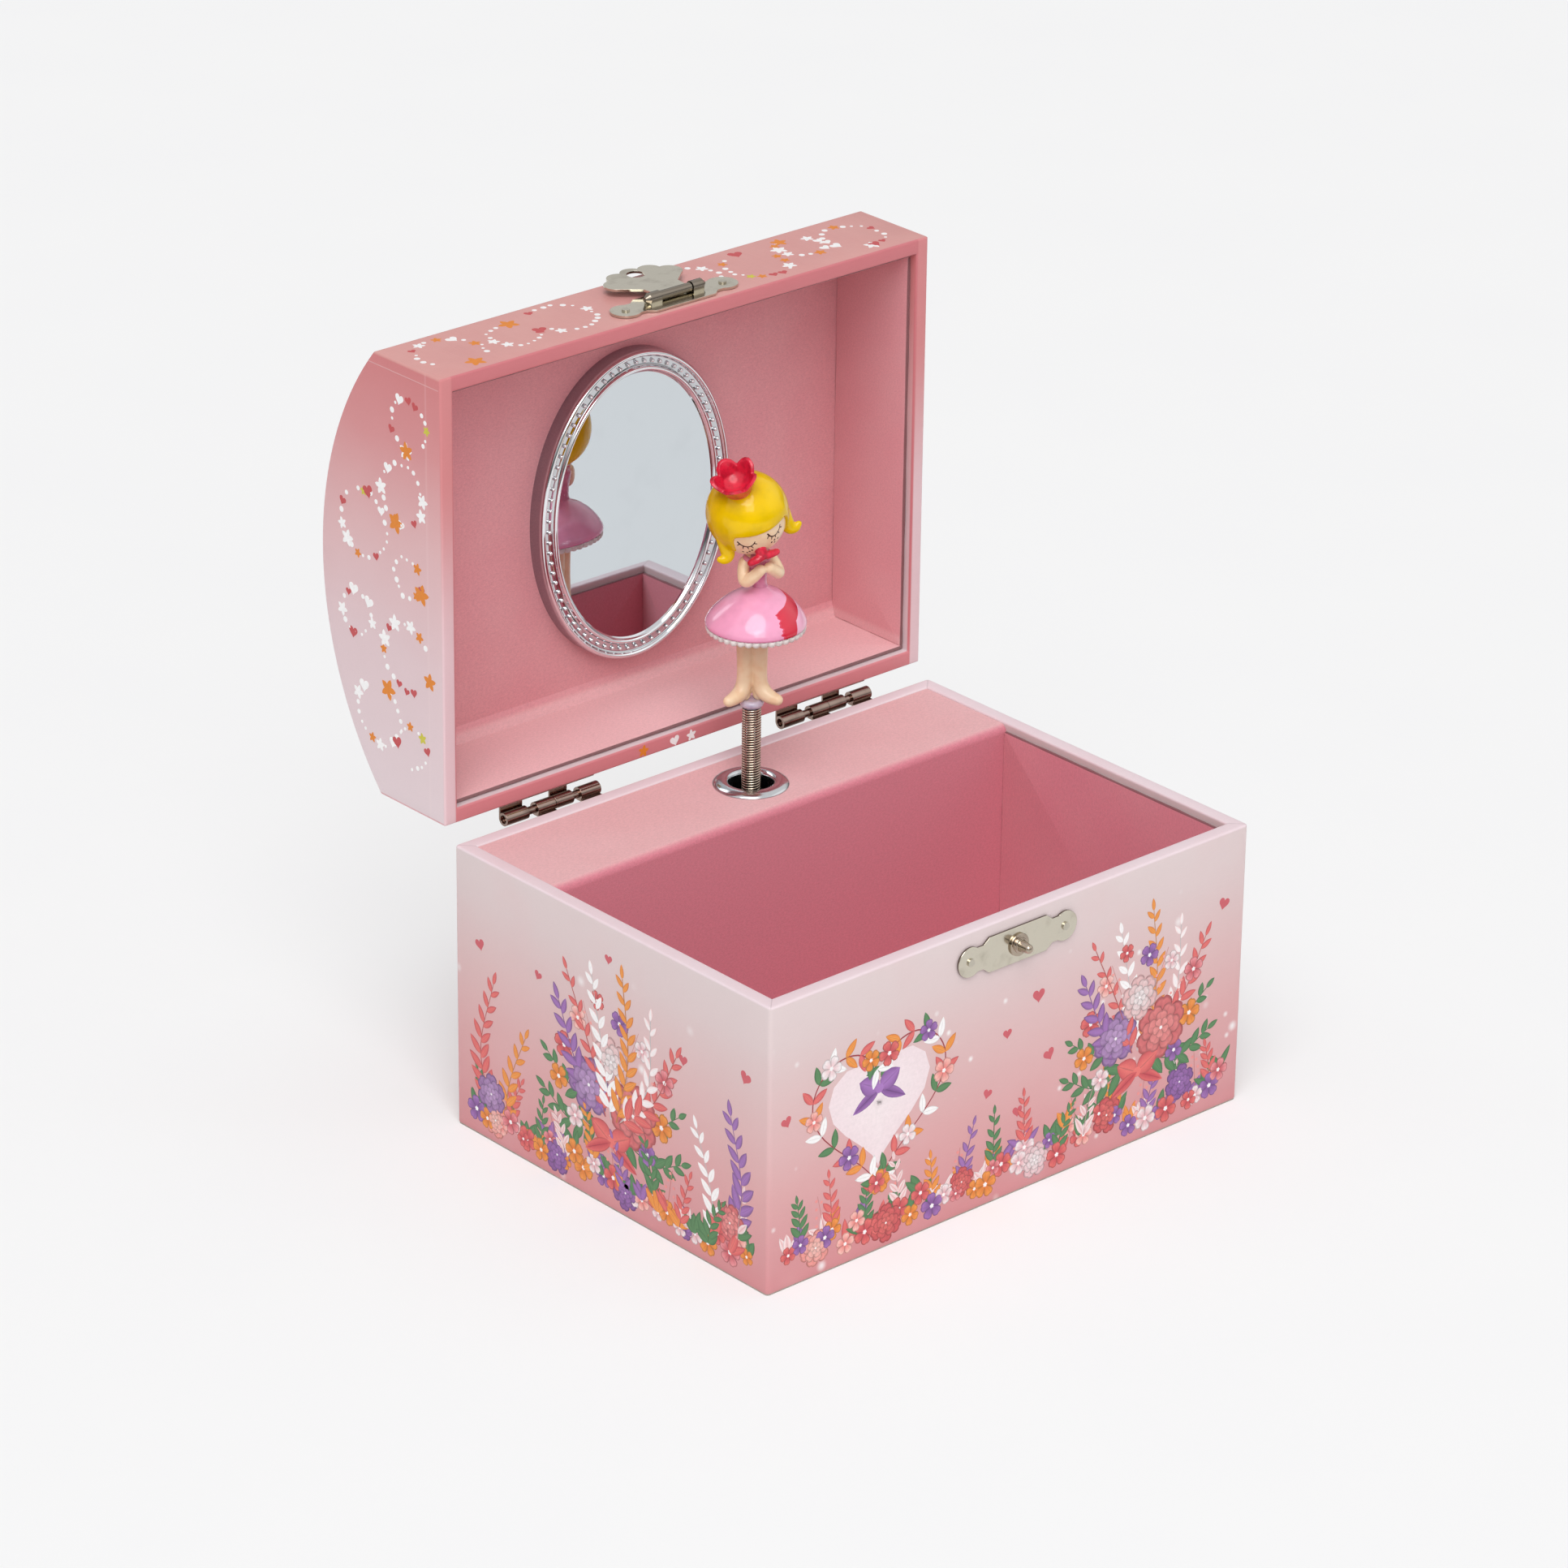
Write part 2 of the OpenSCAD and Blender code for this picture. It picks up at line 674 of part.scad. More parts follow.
// Oval prism in the mirror's place, from z0 to z1 behind the frame's front
module mirror_oval(inset, z0, z1) {
    a = mirror_w / 2 - inset;
    b = mirror_l / 2 - inset;
    translate([mirror_x, mirror_y, ceiling_z - mirror_t + z0]) linear_extrude(z1 - z0)
        polygon([for (t = [0:5:355]) [a * cos(t), b * sin(t)]]);
}

module mirror_frame() {
    color("silver") lid_place() difference() {
        mirror_oval(0, 0, mirror_t);
        mirror_oval(mirror_ring, -CUT, mirror_t + CUT);
        mirror_oval(mirror_ring - MIRROR_REBATE, MIRROR_LIP, mirror_t + CUT);
    }
}

module mirror_glass() {
    color([0.75, 0.8, 0.83]) lid_place()
        mirror_oval(mirror_ring - MIRROR_REBATE + 0.1, MIRROR_LIP, MIRROR_LIP + glass_t);
}

module mirror_pad() {
    color("white") lid_place()
        mirror_oval(mirror_ring - MIRROR_REBATE + 0.6, MIRROR_LIP + glass_t, mirror_t);
}

// ---- Hasp ----

// Height h over the front face, counted outwards
module front_face(h, z) translate([0, -hd - h, z]) children();

module hasp_plate() {
    color([0.8, 0.79, 0.74]) lid_place() difference() {
        union() {
            translate([0, 0, barrel_z]) along_y(-hd - PLATE_T, -hd) latch_outline();
            for (side = [0, 1]) mirror([side, 0, 0]) front_face(BARREL_OUT, barrel_z) {
                rod_x(EAR_IN, EAR_OUT, EAR_R);
                translate([EAR_OUT, 0, 0]) rotate([0, 90, 0])
                    cylinder(h = EAR_TIP, r1 = EAR_R, r2 = 0.4 * EAR_R);
                translate([EAR_IN, 0, -EAR_R])
                    cube([EAR_OUT - EAR_IN, BARREL_OUT - PLATE_T / 2, 2 * EAR_R]);
            }
        }
        front_face(BARREL_OUT, barrel_z) rod_x(-EAR_OUT, EAR_OUT, HASP_PIN_R + FIXED);
        lid_nail_places() nail_hole();
    }
}

module hasp_pin() {
    color([0.42, 0.4, 0.38]) lid_place() front_face(BARREL_OUT, barrel_z)
        rod_x(-EAR_OUT + RUN, EAR_OUT - RUN, HASP_PIN_R);
}

// Scallop shell that folds back over the lid, hinged on its barrel
module hasp_tongue() {
    n = TONGUE_NECK;
    side_lobe = [8.3, tongue_reach - 2.8];
    upper_lobe = [4.9, tongue_reach + 0.5];
    color([0.8, 0.79, 0.74]) lid_place() front_face(BARREL_OUT, barrel_z) difference() {
        union() {
            rod_x(-n, n, BARREL_R);
            along_y(-PLATE_T / 2, PLATE_T / 2) {
                polygon([
                    [-n, 0], [n, 0], [n + 0.6, 0.35 * tongue_reach], [10.8, 0.66 * tongue_reach],
                    side_lobe, upper_lobe, [-upper_lobe[0], upper_lobe[1]],
                    [-side_lobe[0], side_lobe[1]], [-10.8, 0.66 * tongue_reach],
                    [-n - 0.6, 0.35 * tongue_reach]
                ]);
                for (s = [-1, 1]) {
                    translate([s * side_lobe[0], side_lobe[1]]) circle(3.3);
                    translate([s * upper_lobe[0], upper_lobe[1]]) circle(3.1);
                }
                translate([0, tongue_reach + 1.3]) circle(3.1);
            }
        }
        rod_x(-n - CUT, n + CUT, HASP_PIN_R + RUN);
        translate([0, 0, tongue_reach]) rod_y(-CUT, CUT, tongue_hole_r);
    }
}

// ---- Dancer ----

// Close-wound spring: a tube with one round rib for each turn
module figure_spring() {
    turns = round((spring_end - spring_z) / (wire_d * 1.12));
    pitch = (spring_end - spring_z) / turns;
    w = wire_d / 2;
    color([0.55, 0.53, 0.5]) fold_place() translate([spindle_x, spindle_y, spring_z])
        rotate_extrude() polygon(concat(
            [[spring_in_r, 0]],
            [for (i = [0:turns - 1], p = [[w, 0], [2 * w, 0.3], [2 * w, 0.7], [w, 1]])
                if (i == turns - 1 || p[1] < 1) [spring_in_r + p[0], (i + p[1]) * pitch]],
            [[spring_in_r, turns * pitch]]
        ));
}

module figure_peg() {
    color([0.86, 0.8, 0.9]) fold_place() translate([spindle_x, spindle_y, spring_end]) {
        intersection() {
            cylinder(h = BEAD_H, r = BEAD_R);
            translate([0, 0, BEAD_H / 2]) sphere(BEAD_R);
        }
        translate([0, 0, -5]) cylinder(h = 5 + CUT, r = spigot_r);
        cylinder(h = BEAD_H - BEAD_SINK + 5, r = spigot_r);
    }
}

module leg(side) {
    hull() {
        translate([side * 1.9, 0, 4.2]) sphere(1.9, $fn = 20);
        translate([side * 1.9, 0.2, 1.5]) sphere(1.7, $fn = 20);
        translate([side * 6.3, -3.5, 1.25]) sphere(1.3, $fn = 20);
    }
    translate([side * 1.8, 0, 0.6]) cylinder(h = LEG_H, r1 = 1.9, r2 = 2.2);
}

module figure_legs() {
    color([0.96, 0.83, 0.66]) dancer_place() difference() {
        union() {
            for (side = [-1, 1]) leg(side);
            translate([-2, -1.7, 0]) cube([4, 3.4, LEG_H]);
            translate([SKIRT_X, 0, LEG_H - CUT])
                cylinder(h = WAIST_H - LEG_H + CUT, r1 = 3.4, r2 = 1.2);
        }
        translate([0, 0, -CUT]) cylinder(h = 5.1 + CUT, r = spigot_r + FIXED);
        translate([0, 0, -CUT]) cylinder(h = BEAD_SINK + CUT, r = BEAD_R + FIXED);
        translate([-10, -10, -10]) cube([20, 20, 10]);
    }
}

// Half profile of the bell skirt, from hem to waist
function skirt_profile(inset) = [
    [skirt_r - inset, LEG_H], [skirt_r - 0.2 - inset, LEG_H + 1.4],
    [0.86 * skirt_r - inset, LEG_H + 3.6], [0.66 * skirt_r - inset, LEG_H + 6],
    [0.4 * skirt_r - inset, LEG_H + 8.4], [1.7, WAIST_H]
];

module figure_skirt() {
    wall = 0.9;
    color([0.95, 0.58, 0.74]) dancer_place() translate([SKIRT_X, 0, 0]) rotate_extrude()
        difference() {
            polygon(concat([[1.5, LEG_H]], skirt_profile(0), [[1.5, WAIST_H]]));
            polygon(concat([[0, LEG_H - CUT], [skirt_r - wall, LEG_H - CUT]],
                [for (p = skirt_profile(wall)) [max(p[0], 0), p[1] - wall]], [[0, WAIST_H - wall]]));
        }
}

// White frill under the hem, scalloped all round
module skirt_trim() {
    scallops = 30;
    r = skirt_r - 1.1;
    color("white") dancer_place() translate([SKIRT_X, 0, LEG_H - TRIM_H]) difference() {
        union() {
            cylinder(h = TRIM_H, r = r);
            for (i = [0:scallops - 1]) rotate([0, 0, i * 360 / scallops])
                translate([r, 0, 0]) cylinder(h = TRIM_H, r = 1.2, $fn = 24);
        }
        translate([0, 0, -CUT]) cylinder(h = TRIM_H + 2 * CUT, r = r - 1);
    }
}

// The waist's place: leaning and turned a little to her left
module torso_place() translate([TORSO_X, 0, WAIST_H]) rotate([0, -7, 18]) children();

// The head's place: tilted the same way
module head_place() translate([HEAD_X, 0, HEAD_H]) rotate([0, HEAD_TILT, 0]) children();

module head_ball(play = 0) head_place() translate([0, -0.4, -1.4]) sphere(head_r + play);

module arm(side) {
    shoulder = [side * 3.1, 0.2, 7.2];
    elbow = [side * 4.4, -1.6, 3.4];
    hull() {
        translate(shoulder) sphere(1.3, $fn = 18);
        translate(elbow) sphere(1.4, $fn = 18);
    }
    hull() {
        translate(elbow) sphere(1.4, $fn = 18);
        translate(hand(side)) sphere(1.25, $fn = 18);
    }
}

module figure_torso() {
    color([0.96, 0.83, 0.66]) dancer_place() difference() {
        torso_place() {
            cylinder(h = 7.6, r1 = 1.7, r2 = 3.1);
            translate([0, 0, 7.6]) cylinder(h = 1.6, r1 = 3.1, r2 = 1.6);
            translate([0, 0, 9]) cylinder(h = 4, r = 1.6);
            for (side = [-1, 1]) arm(side);
        }
        translate([0, 0, WAIST_H - 10]) cylinder(h = 10, r = 9);
        head_ball(FIXED);
    }
}

module figure_head() color([0.96, 0.83, 0.66]) dancer_place() head_ball();

// Bob cut: a shell over the head, open over the face, with two flipped ends
module figure_hair() {
    r = head_r + HAIR_T;
    color([0.98, 0.85, 0.05]) dancer_place() difference() {
        head_place() {
            difference() {
                sphere(r);
                rotate([0, 0, 16]) translate([-7.4, -3 * r, -3 * r])
                    cube([14.8, 3 * r - 2.5, 3 * r - 1]);
                translate([0, 0, -r]) cylinder(h = 4.2, r = 7);
            }
            for (side = [-1, 1]) rotate([0, 0, 16]) {
                hull() {
                    translate([side * 8.2, -0.5, -3]) sphere(1.7, $fn = 18);
                    translate([side * 8.2, -0.9, -7.4]) sphere(1.5, $fn = 18);
                }
                hull() {
                    translate([side * 8.2, -0.9, -7.4]) sphere(1.5, $fn = 18);
                    translate([side * 10.2, -1.2, -7.8]) sphere(1.25, $fn = 18);
                }
            }
        }
        head_ball(FIXED);
    }
}

// Five-pointed crown: a flared cup with five notches in its rim
module figure_crown() {
    r = head_r + HAIR_T;
    notch = [[-1, -2.6], [2, 0], [-1, 2.6]];
    color([0.86, 0.07, 0.2]) dancer_place() head_place() difference() {
        rotate([36, 1, 0]) translate([0, 0, r - 1.4]) difference() {
            cylinder(h = CROWN_H, r1 = 2.8, r2 = 5.4);
            translate([0, 0, 2.4]) cylinder(h = CROWN_H - 2, r1 = 2.4, r2 = 5.2);
            for (i = [0:4]) rotate([0, 0, 72 * i + 90]) translate([0, 0, CROWN_H])
                rotate([0, 90, 0]) linear_extrude(8) polygon(notch);
        }
        sphere(r + FIXED);
    }
}

module figure_bow() {
    color([0.86, 0.07, 0.2]) dancer_place() difference() {
        torso_place() difference() {
            translate([-0.5, -6.3, 9.4]) {
                for (side = [-1, 1]) hull() {
                    sphere(1, $fn = 16);
                    translate([side * 2.9, 0.2, -0.4]) sphere(1.3, $fn = 16);
                }
                translate([0, 0.4, 1.6]) sphere(1.8, $fn = 24);
            }
            for (side = [-1, 1]) translate(hand(side)) sphere(1.3, $fn = 18);
        }
        head_ball(FIXED);
    }
}

// ---- Movement ----

// Outline of a spur gear with n straight-sided teeth; half = 1 starts on a gap
function gear_points(n, m, half = 0) = [
    for (i = [0:n - 1], k = [[-1, 0], [-1, 1], [1, 1], [1, 0]])
        let (
            share = k[1] == 0 ? ROOT_HALF : TIP_HALF,
            r = m * (n / 2 + (k[1] == 0 ? -DEDENDUM : ADDENDUM)),
            a = 360 / n * (i + half / 2 + k[0] * share)
        ) [r * cos(a), r * sin(a)]
];

// Spur gear on the Z axis
module spur(n, m, width, half = 0) {
    linear_extrude(width) polygon(gear_points(n, m, half));
}

// Spur gear on an axis along X from x0, with a tooth or a gap towards +Z
module spur_x(x0, n, m, width, half = 0) {
    translate([x0, 0, 0]) rotate([0, 90, 0]) rotate([0, 0, 180]) spur(n, m, width, half);
}

module drum_axis() translate([spindle_x, 0, drum_z]) children();
module tune_axis() translate([0, cylinder_y, drum_z]) children();
module governor_axis() translate([0, cylinder_y, governor_z]) children();
module worm_axis() translate([worm_x, 0, worm_z]) children();

module spindle() {
    color([0.72, 0.72, 0.7]) translate([spindle_x, spindle_y, 0]) {
        translate([0, 0, tab_z]) cylinder(h = TAB_T + CUT, r = 1);
        translate([0, 0, tab_z + TAB_T]) cylinder(h = spring_z + 6 - tab_z - TAB_T, r = 1.5);
        translate([0, 0, spring_z - 1]) cylinder(h = 1, r = spring_r);
        translate([0, 0, spring_z - 1]) cylinder(h = 7, r = spigot_r);
        translate([0, 0, drum_z + crown_r - 1]) spur(spindle_n, crown_m, 2, 1);
    }
}

module post_places() {
    for (p = POSTS) translate([spindle_x + p[0], 0, drum_z + p[1]]) children();
}

module comb_screw_places() {
    for (s = [0.12, 0.5, 0.88]) translate([cyl_x0 + s * (cyl_x1 - cyl_x0), cylinder_y - COMB_T / 2,
        comb_z + COMB_SEAT / 2]) rotate([90, 0, 0]) children();
}

module bracket_screw_places() {
    for (s = [-1, 1]) translate([spindle_x + s * 5.5, bed_y - BASE_T, bracket_z - 3])
        rotate([90, 0, 0]) children();
}

module frame_screw_places() {
    for (z = [drum_z - 6, worm_z + 6.4]) translate([frame_x + PLATE_X + FRAME_SPAN / 2,
        bed_y - BASE_T, z]) rotate([90, 0, 0]) children();
}

module screw_bore(length) {
    translate([0, 0, -length]) cylinder(h = length + CUT, r = SCREW_R + SCREW_PLAY);
}

// Cast plate on the back wall, with three posts and the comb's seat
module bedplate() {
    color([0.7, 0.62, 0.4]) difference() {
        union() {
            translate([bed_x0, bed_y, bed_z0]) cube([bed_x1 - bed_x0, BED_T, bed_z1 - bed_z0]);
            post_places() rod_y(bridge_y + BRIDGE_T, bed_y + CUT, POST_R);
            translate([cyl_x0, cylinder_y + COMB_T / 2, comb_z])
                cube([cyl_x1 - cyl_x0, bed_y - cylinder_y, COMB_SEAT]);
        }
        drum_axis() rod_y(bed_y - CUT, bed_y + BED_T + CUT, ARBOR_R + 2 * RUN);
        post_places() rod_y(bridge_y, bridge_y + 7, SCREW_R + SCREW_PLAY);
        comb_screw_places() screw_bore(COMB_T + 5);
        bracket_screw_places() screw_bore(BASE_T + BED_T);
        frame_screw_places() screw_bore(BASE_T + BED_T);
        wall_screw_places() screw_bore(wall_t + BED_T + CUT);
    }
}

// Front bridge: carries the front of the arbor, the cylinder's end and the spindle's foot
module movement_bridge() {
    color([0.76, 0.68, 0.45]) difference() {
        union() {
            drum_axis() along_y(bridge_y, bridge_y + BRIDGE_T) {
                polygon([
                    [-18, -9], [-18, 9], [-15.5, 11.5], [2.5, 6.5], [6, 2.4], [6, -17],
                    [3, -20.5], [0, -19], [-15.5, -11.5]
                ]);
                for (p = POSTS) translate(p) circle(POST_R + 0.8);
            }
            translate([spindle_x + 4.5, bridge_y, drum_z - 2.4])
                cube([TAB_T, cylinder_y - bridge_y + 2.2, 4.8]);
            translate([spindle_x - 2.5, bridge_y, tab_z])
                cube([5, spindle_y - bridge_y + 1.8, TAB_T]);
        }
        drum_axis() rod_y(bridge_y - CUT, bridge_y + BRIDGE_T + CUT, ARBOR_R + RUN);
        tune_axis() rod_x(spindle_x + 3, spindle_x + 8, ARBOR_TUNE_R + RUN);
        translate([spindle_x, spindle_y, tab_z - CUT]) cylinder(h = TAB_T + 2 * CUT, r = 1 + RUN);
        post_places() rod_y(bridge_y - CUT, bridge_y + 7, SCREW_R + SCREW_PLAY);
    }
}

module spindle_bracket() {
    y0 = spindle_y - 3.4;
    color([0.7, 0.7, 0.68]) difference() {
        union() {
            translate([spindle_x - 4, y0, bracket_z]) cube([8, bed_y - y0, TAB_T]);
            translate([spindle_x - 8.5, bed_y - BASE_T, bracket_z - 6])
                cube([17, BASE_T, 6 + TAB_T]);
        }
        translate([spindle_x, spindle_y, bracket_z - CUT])
            cylinder(h = TAB_T + 2 * CUT, r = 1.5 + RUN);
        bracket_screw_places() screw_bore(BASE_T + BED_T);
    }
}

module movement_screws() {
    color([0.8, 0.78, 0.72]) {
        wall_screw_places() screw(hd - bed_y - 0.1);
        post_places() rotate([90, 0, 0]) translate([0, 0, -bridge_y]) screw(6);
        comb_screw_places() screw(COMB_T + 4, head_r = 2);
        bracket_screw_places() screw(BASE_T + BED_T - 0.1, head_r = 2);
        frame_screw_places() screw(BASE_T + BED_T - 0.1, head_r = 1.8);
    }
}

// Drum with the crown teeth on its front face
module spring_drum() {
    tall = drum_back - drum_front;
    color([0.8, 0.7, 0.42]) drum_axis() difference() {
        union() {
            rod_y(drum_front, drum_back, DRUM_R);
            for (i = [0:crown_n - 1]) rotate([0, i * 360 / crown_n, 0])
                translate([DRUM_R - CROWN_FACE, 0, 0]) rotate([90, 0, 90])
                    linear_extrude(CROWN_FACE - 0.05) crown_tooth();
        }
        rod_y(drum_front + DRUM_WALL, drum_front + tall + CUT, DRUM_R - DRUM_WALL);
        rod_y(drum_front - CUT, drum_back, ARBOR_R + RUN);
    }
}

// Section of a crown tooth: x runs along the drum's axis, y around the crown.
// It starts a little inside the drum.
module crown_tooth() {
    pitch = PI * crown_m;
    tip = pitch_y - ADDENDUM * crown_m;
    polygon([
        [drum_front + CUT / 2, -ROOT_HALF * pitch], [drum_front, -ROOT_HALF * pitch],
        [tip, -TIP_HALF * pitch], [tip, TIP_HALF * pitch],
        [drum_front, ROOT_HALF * pitch], [drum_front + CUT / 2, ROOT_HALF * pitch]
    ]);
}

module drum_cover() {
    color([0.72, 0.64, 0.4]) drum_axis() difference() {
        rod_y(drum_back - DRUM_COVER, drum_back, DRUM_R - DRUM_WALL - FIXED);
        rod_y(drum_back - DRUM_COVER - CUT, drum_back + CUT, ARBOR_R + RUN);
    }
}

// Spiral strip from the drum's wall towards the arbor
module mainspring() {
    turns = 6;
    sides = 16; // In each turn
    strip = 0.35;
    gap = 0.3; // To the drum's front and to its cover
    r1 = DRUM_R - DRUM_WALL - strip - 0.1;
    r0 = ARBOR_R + 1.4;
    steps = turns * sides;
    function spiral(i, out) = let (a = 360 / sides * i, r = r0 + (r1 - r0) * i / steps + out)
        [r * cos(a), r * sin(a)];
    color([0.35, 0.4, 0.5]) drum_axis()
        along_y(drum_front + DRUM_WALL + gap, drum_back - DRUM_COVER - gap) polygon(concat(
            [for (i = [0:steps]) spiral(i, 0)],
            [for (i = [steps:-1:0]) spiral(i, strip)]
        ));
}

module winding_arbor() {
    color([0.6, 0.6, 0.6]) drum_axis() {
        rod_y(bridge_y - 0.5, hd + KEY_HUB_L, ARBOR_R);
        rod_y(drum_back + 0.1, bed_y - 0.1, 3);
    }
}

// Butterfly key, screwed onto the arbor behind the box
module winding_key() {
    y0 = hd + 1.2;
    color([0.82, 0.8, 0.76]) drum_axis() difference() {
        union() {
            rod_y(y0, y0 + KEY_HUB_L, KEY_HUB_R);
            translate([0, 0, -KEY_T / 2]) linear_extrude(KEY_T) {
                translate([-KEY_WING_X, y0 + KEY_HUB_L - 2]) square([2 * KEY_WING_X, 4]);
                for (s = [-1, 1]) translate([s * KEY_WING_X, y0 + KEY_HUB_L + 1.6])
                    circle(KEY_WING_R);
            }
        }
        rod_y(y0 - CUT, hd + KEY_HUB_L + FIXED, ARBOR_R + FIXED);
    }
}

// Pinned brass cylinder with its two wheels on one arbor
module tune_cylinder() {
    color([0.85, 0.72, 0.38]) tune_axis() {
        rod_x(spindle_x + 4.3, frame_x + PLATE_X, ARBOR_TUNE_R);
        rod_x(cyl_x0, cyl_x1, cylinder_r);
        rod_x(spindle_x + crown_r - 1, cyl_x0 + CUT, 2);
        rod_x(cyl_x1 - CUT, wheel_x + CUT, 2);
        spur_x(spindle_x + crown_r - 1, tune_n, crown_m, 2);
        spur_x(wheel_x, wheel_n, governor_m, WHEEL_T);
        for (i = [0:comb_teeth - 1], k = [0:PIN_ROWS - 1])
            translate([cyl_x0 + 1.15 + i * TOOTH_PITCH, 0, 0])
                rotate([(i * 137 + k * (110 + 7 * (i % 3))) % 360, 0, 0])
                    cylinder(h = cylinder_r + PIN_OUT, r = PIN_R, $fn = 16);
    }
}

// Steel comb, cut into teeth that reach up to the cylinder's pins
module tune_comb() {
    color([0.7, 0.72, 0.74]) difference() {
        translate([cyl_x0, cylinder_y - COMB_T / 2, comb_z])
            cube([cyl_x1 - cyl_x0, COMB_T, comb_top - comb_z]);
        for (i = [0:comb_teeth]) translate([cyl_x0 + 0.6 + (i - 0.11) * TOOTH_PITCH,
            cylinder_y - COMB_T, comb_z + COMB_SEAT + 3 - 0.08 * i])
            cube([0.22 * TOOTH_PITCH, 2 * COMB_T, 30]);
        comb_screw_places() screw_bore(COMB_T + 5);
    }
}

// Two plates on a foot, with a tab in front for the fly's arbor
module governor_frame() {
    low = drum_z - 9;
    high = worm_z + 3;
    width = 2 * PLATE_X + FRAME_SPAN;
    color([0.76, 0.68, 0.45]) difference() {
        union() {
            translate([frame_x, bed_y - BASE_T, low]) cube([width, BASE_T, high + 6 - low]);
            for (x = [frame_x, frame_x + PLATE_X + FRAME_SPAN])
                translate([x, front_tab_y, drum_z - 3])
                    cube([PLATE_X, bed_y - front_tab_y, high - drum_z + 3]);
            translate([frame_x, front_tab_y, worm_z - 2]) cube([width, FRONT_TAB, 5]);
        }
        tune_axis() rod_x(frame_x - CUT, frame_x + PLATE_X + CUT, ARBOR_TUNE_R + RUN);
        governor_axis() rod_x(frame_x - CUT, frame_x + width + CUT, GOVERNOR_R + RUN);
        worm_axis() rod_y(front_tab_y - CUT, bed_y - BASE_T / 3, FLY_ARBOR_R + RUN);
        frame_screw_places() screw_bore(BASE_T + BED_T);
    }
}

// Governor arbor: the pinion that the cylinder drives, and the worm wheel
module governor_wheel() {
    color([0.85, 0.75, 0.45]) governor_axis() {
        rod_x(wheel_x - 0.3, frame_x + 2 * PLATE_X + FRAME_SPAN, GOVERNOR_R);
        spur_x(wheel_x - 0.3, pinion_n, governor_m, WHEEL_T + 0.6, 1);
        spur_x(worm_x - WORM_WHEEL_T / 2, worm_wheel_n, governor_m, WORM_WHEEL_T);
        rod_x(worm_x - 1, worm_x + 1, 1.2);
    }
}

// Section of the worm: a lobe for each start, flat at its tip and between the lobes
function worm_points() = [
    for (i = [0:WORM_STARTS - 1], off = WORM_SHARES)
        let (
            a = 360 / WORM_STARTS * (i + off),
            r = WORM_R + governor_m * (abs(off) > TIP_HALF ? -DEDENDUM : ADDENDUM)
        ) [r * cos(a), r * sin(a)]
];

// Worm and two-bladed fly on one arbor
module fly() {
    turn = 360 * WORM_L / worm_lead;
    color([0.9, 0.9, 0.88]) worm_axis() {
        rod_y(fly_y, bed_y - BASE_T / 2, FLY_ARBOR_R);
        translate([0, cylinder_y + WORM_L / 2, 0]) rotate([90, 0, 0])
            linear_extrude(WORM_L, twist = -turn, slices = ceil(turn / 24))
                rotate(worm_phase) polygon(worm_points());
        rod_y(fly_y, fly_y + FLY_W, 0.9);
        translate([-FLY_R, fly_y, -0.2]) cube([2 * FLY_R, FLY_W, 0.4]);
    }
}

base_front_wall();
base_back_wall();
base_left_wall();
base_right_wall();
base_floor();
base_wrap();
base_linings();
stage_top();
stage_front();
stage_cover();
grommet();
grommet_washer();
left_base_leaf();
right_base_leaf();
left_lid_leaf();
right_lid_leaf();
hinge_pins();
base_nails();
lid_nails();
catch_plate();
catch_stud();
lid_front_wall();
lid_back_wall();
lid_left_end();
lid_right_end();
lid_vault();
lid_ceiling();
lid_linings();
lid_wrap();
mirror_frame();
mirror_glass();
mirror_pad();
hasp_plate();
hasp_pin();
hasp_tongue();
figure_spring();
figure_peg();
figure_legs();
figure_skirt();
skirt_trim();
figure_torso();
figure_head();
figure_hair();
figure_crown();
figure_bow();
spindle();
bedplate();
movement_bridge();
spindle_bracket();
movement_screws();
spring_drum();
drum_cover();
mainspring();
winding_arbor();
winding_key();
tune_cylinder();
tune_comb();
governor_frame();
governor_wheel();
fly();
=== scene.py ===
"""Dresses a ballerina jewellery box: printed papers, flocked linings, a beaded
mirror, small metal fittings, and the dancer on her coil spring.

Lengths are millimetres in the numbers below and metres in the meshes.
"""

from math import cos, pi, radians, sin

import bmesh
import bpy
import numpy as np
from mathutils import Matrix, Vector


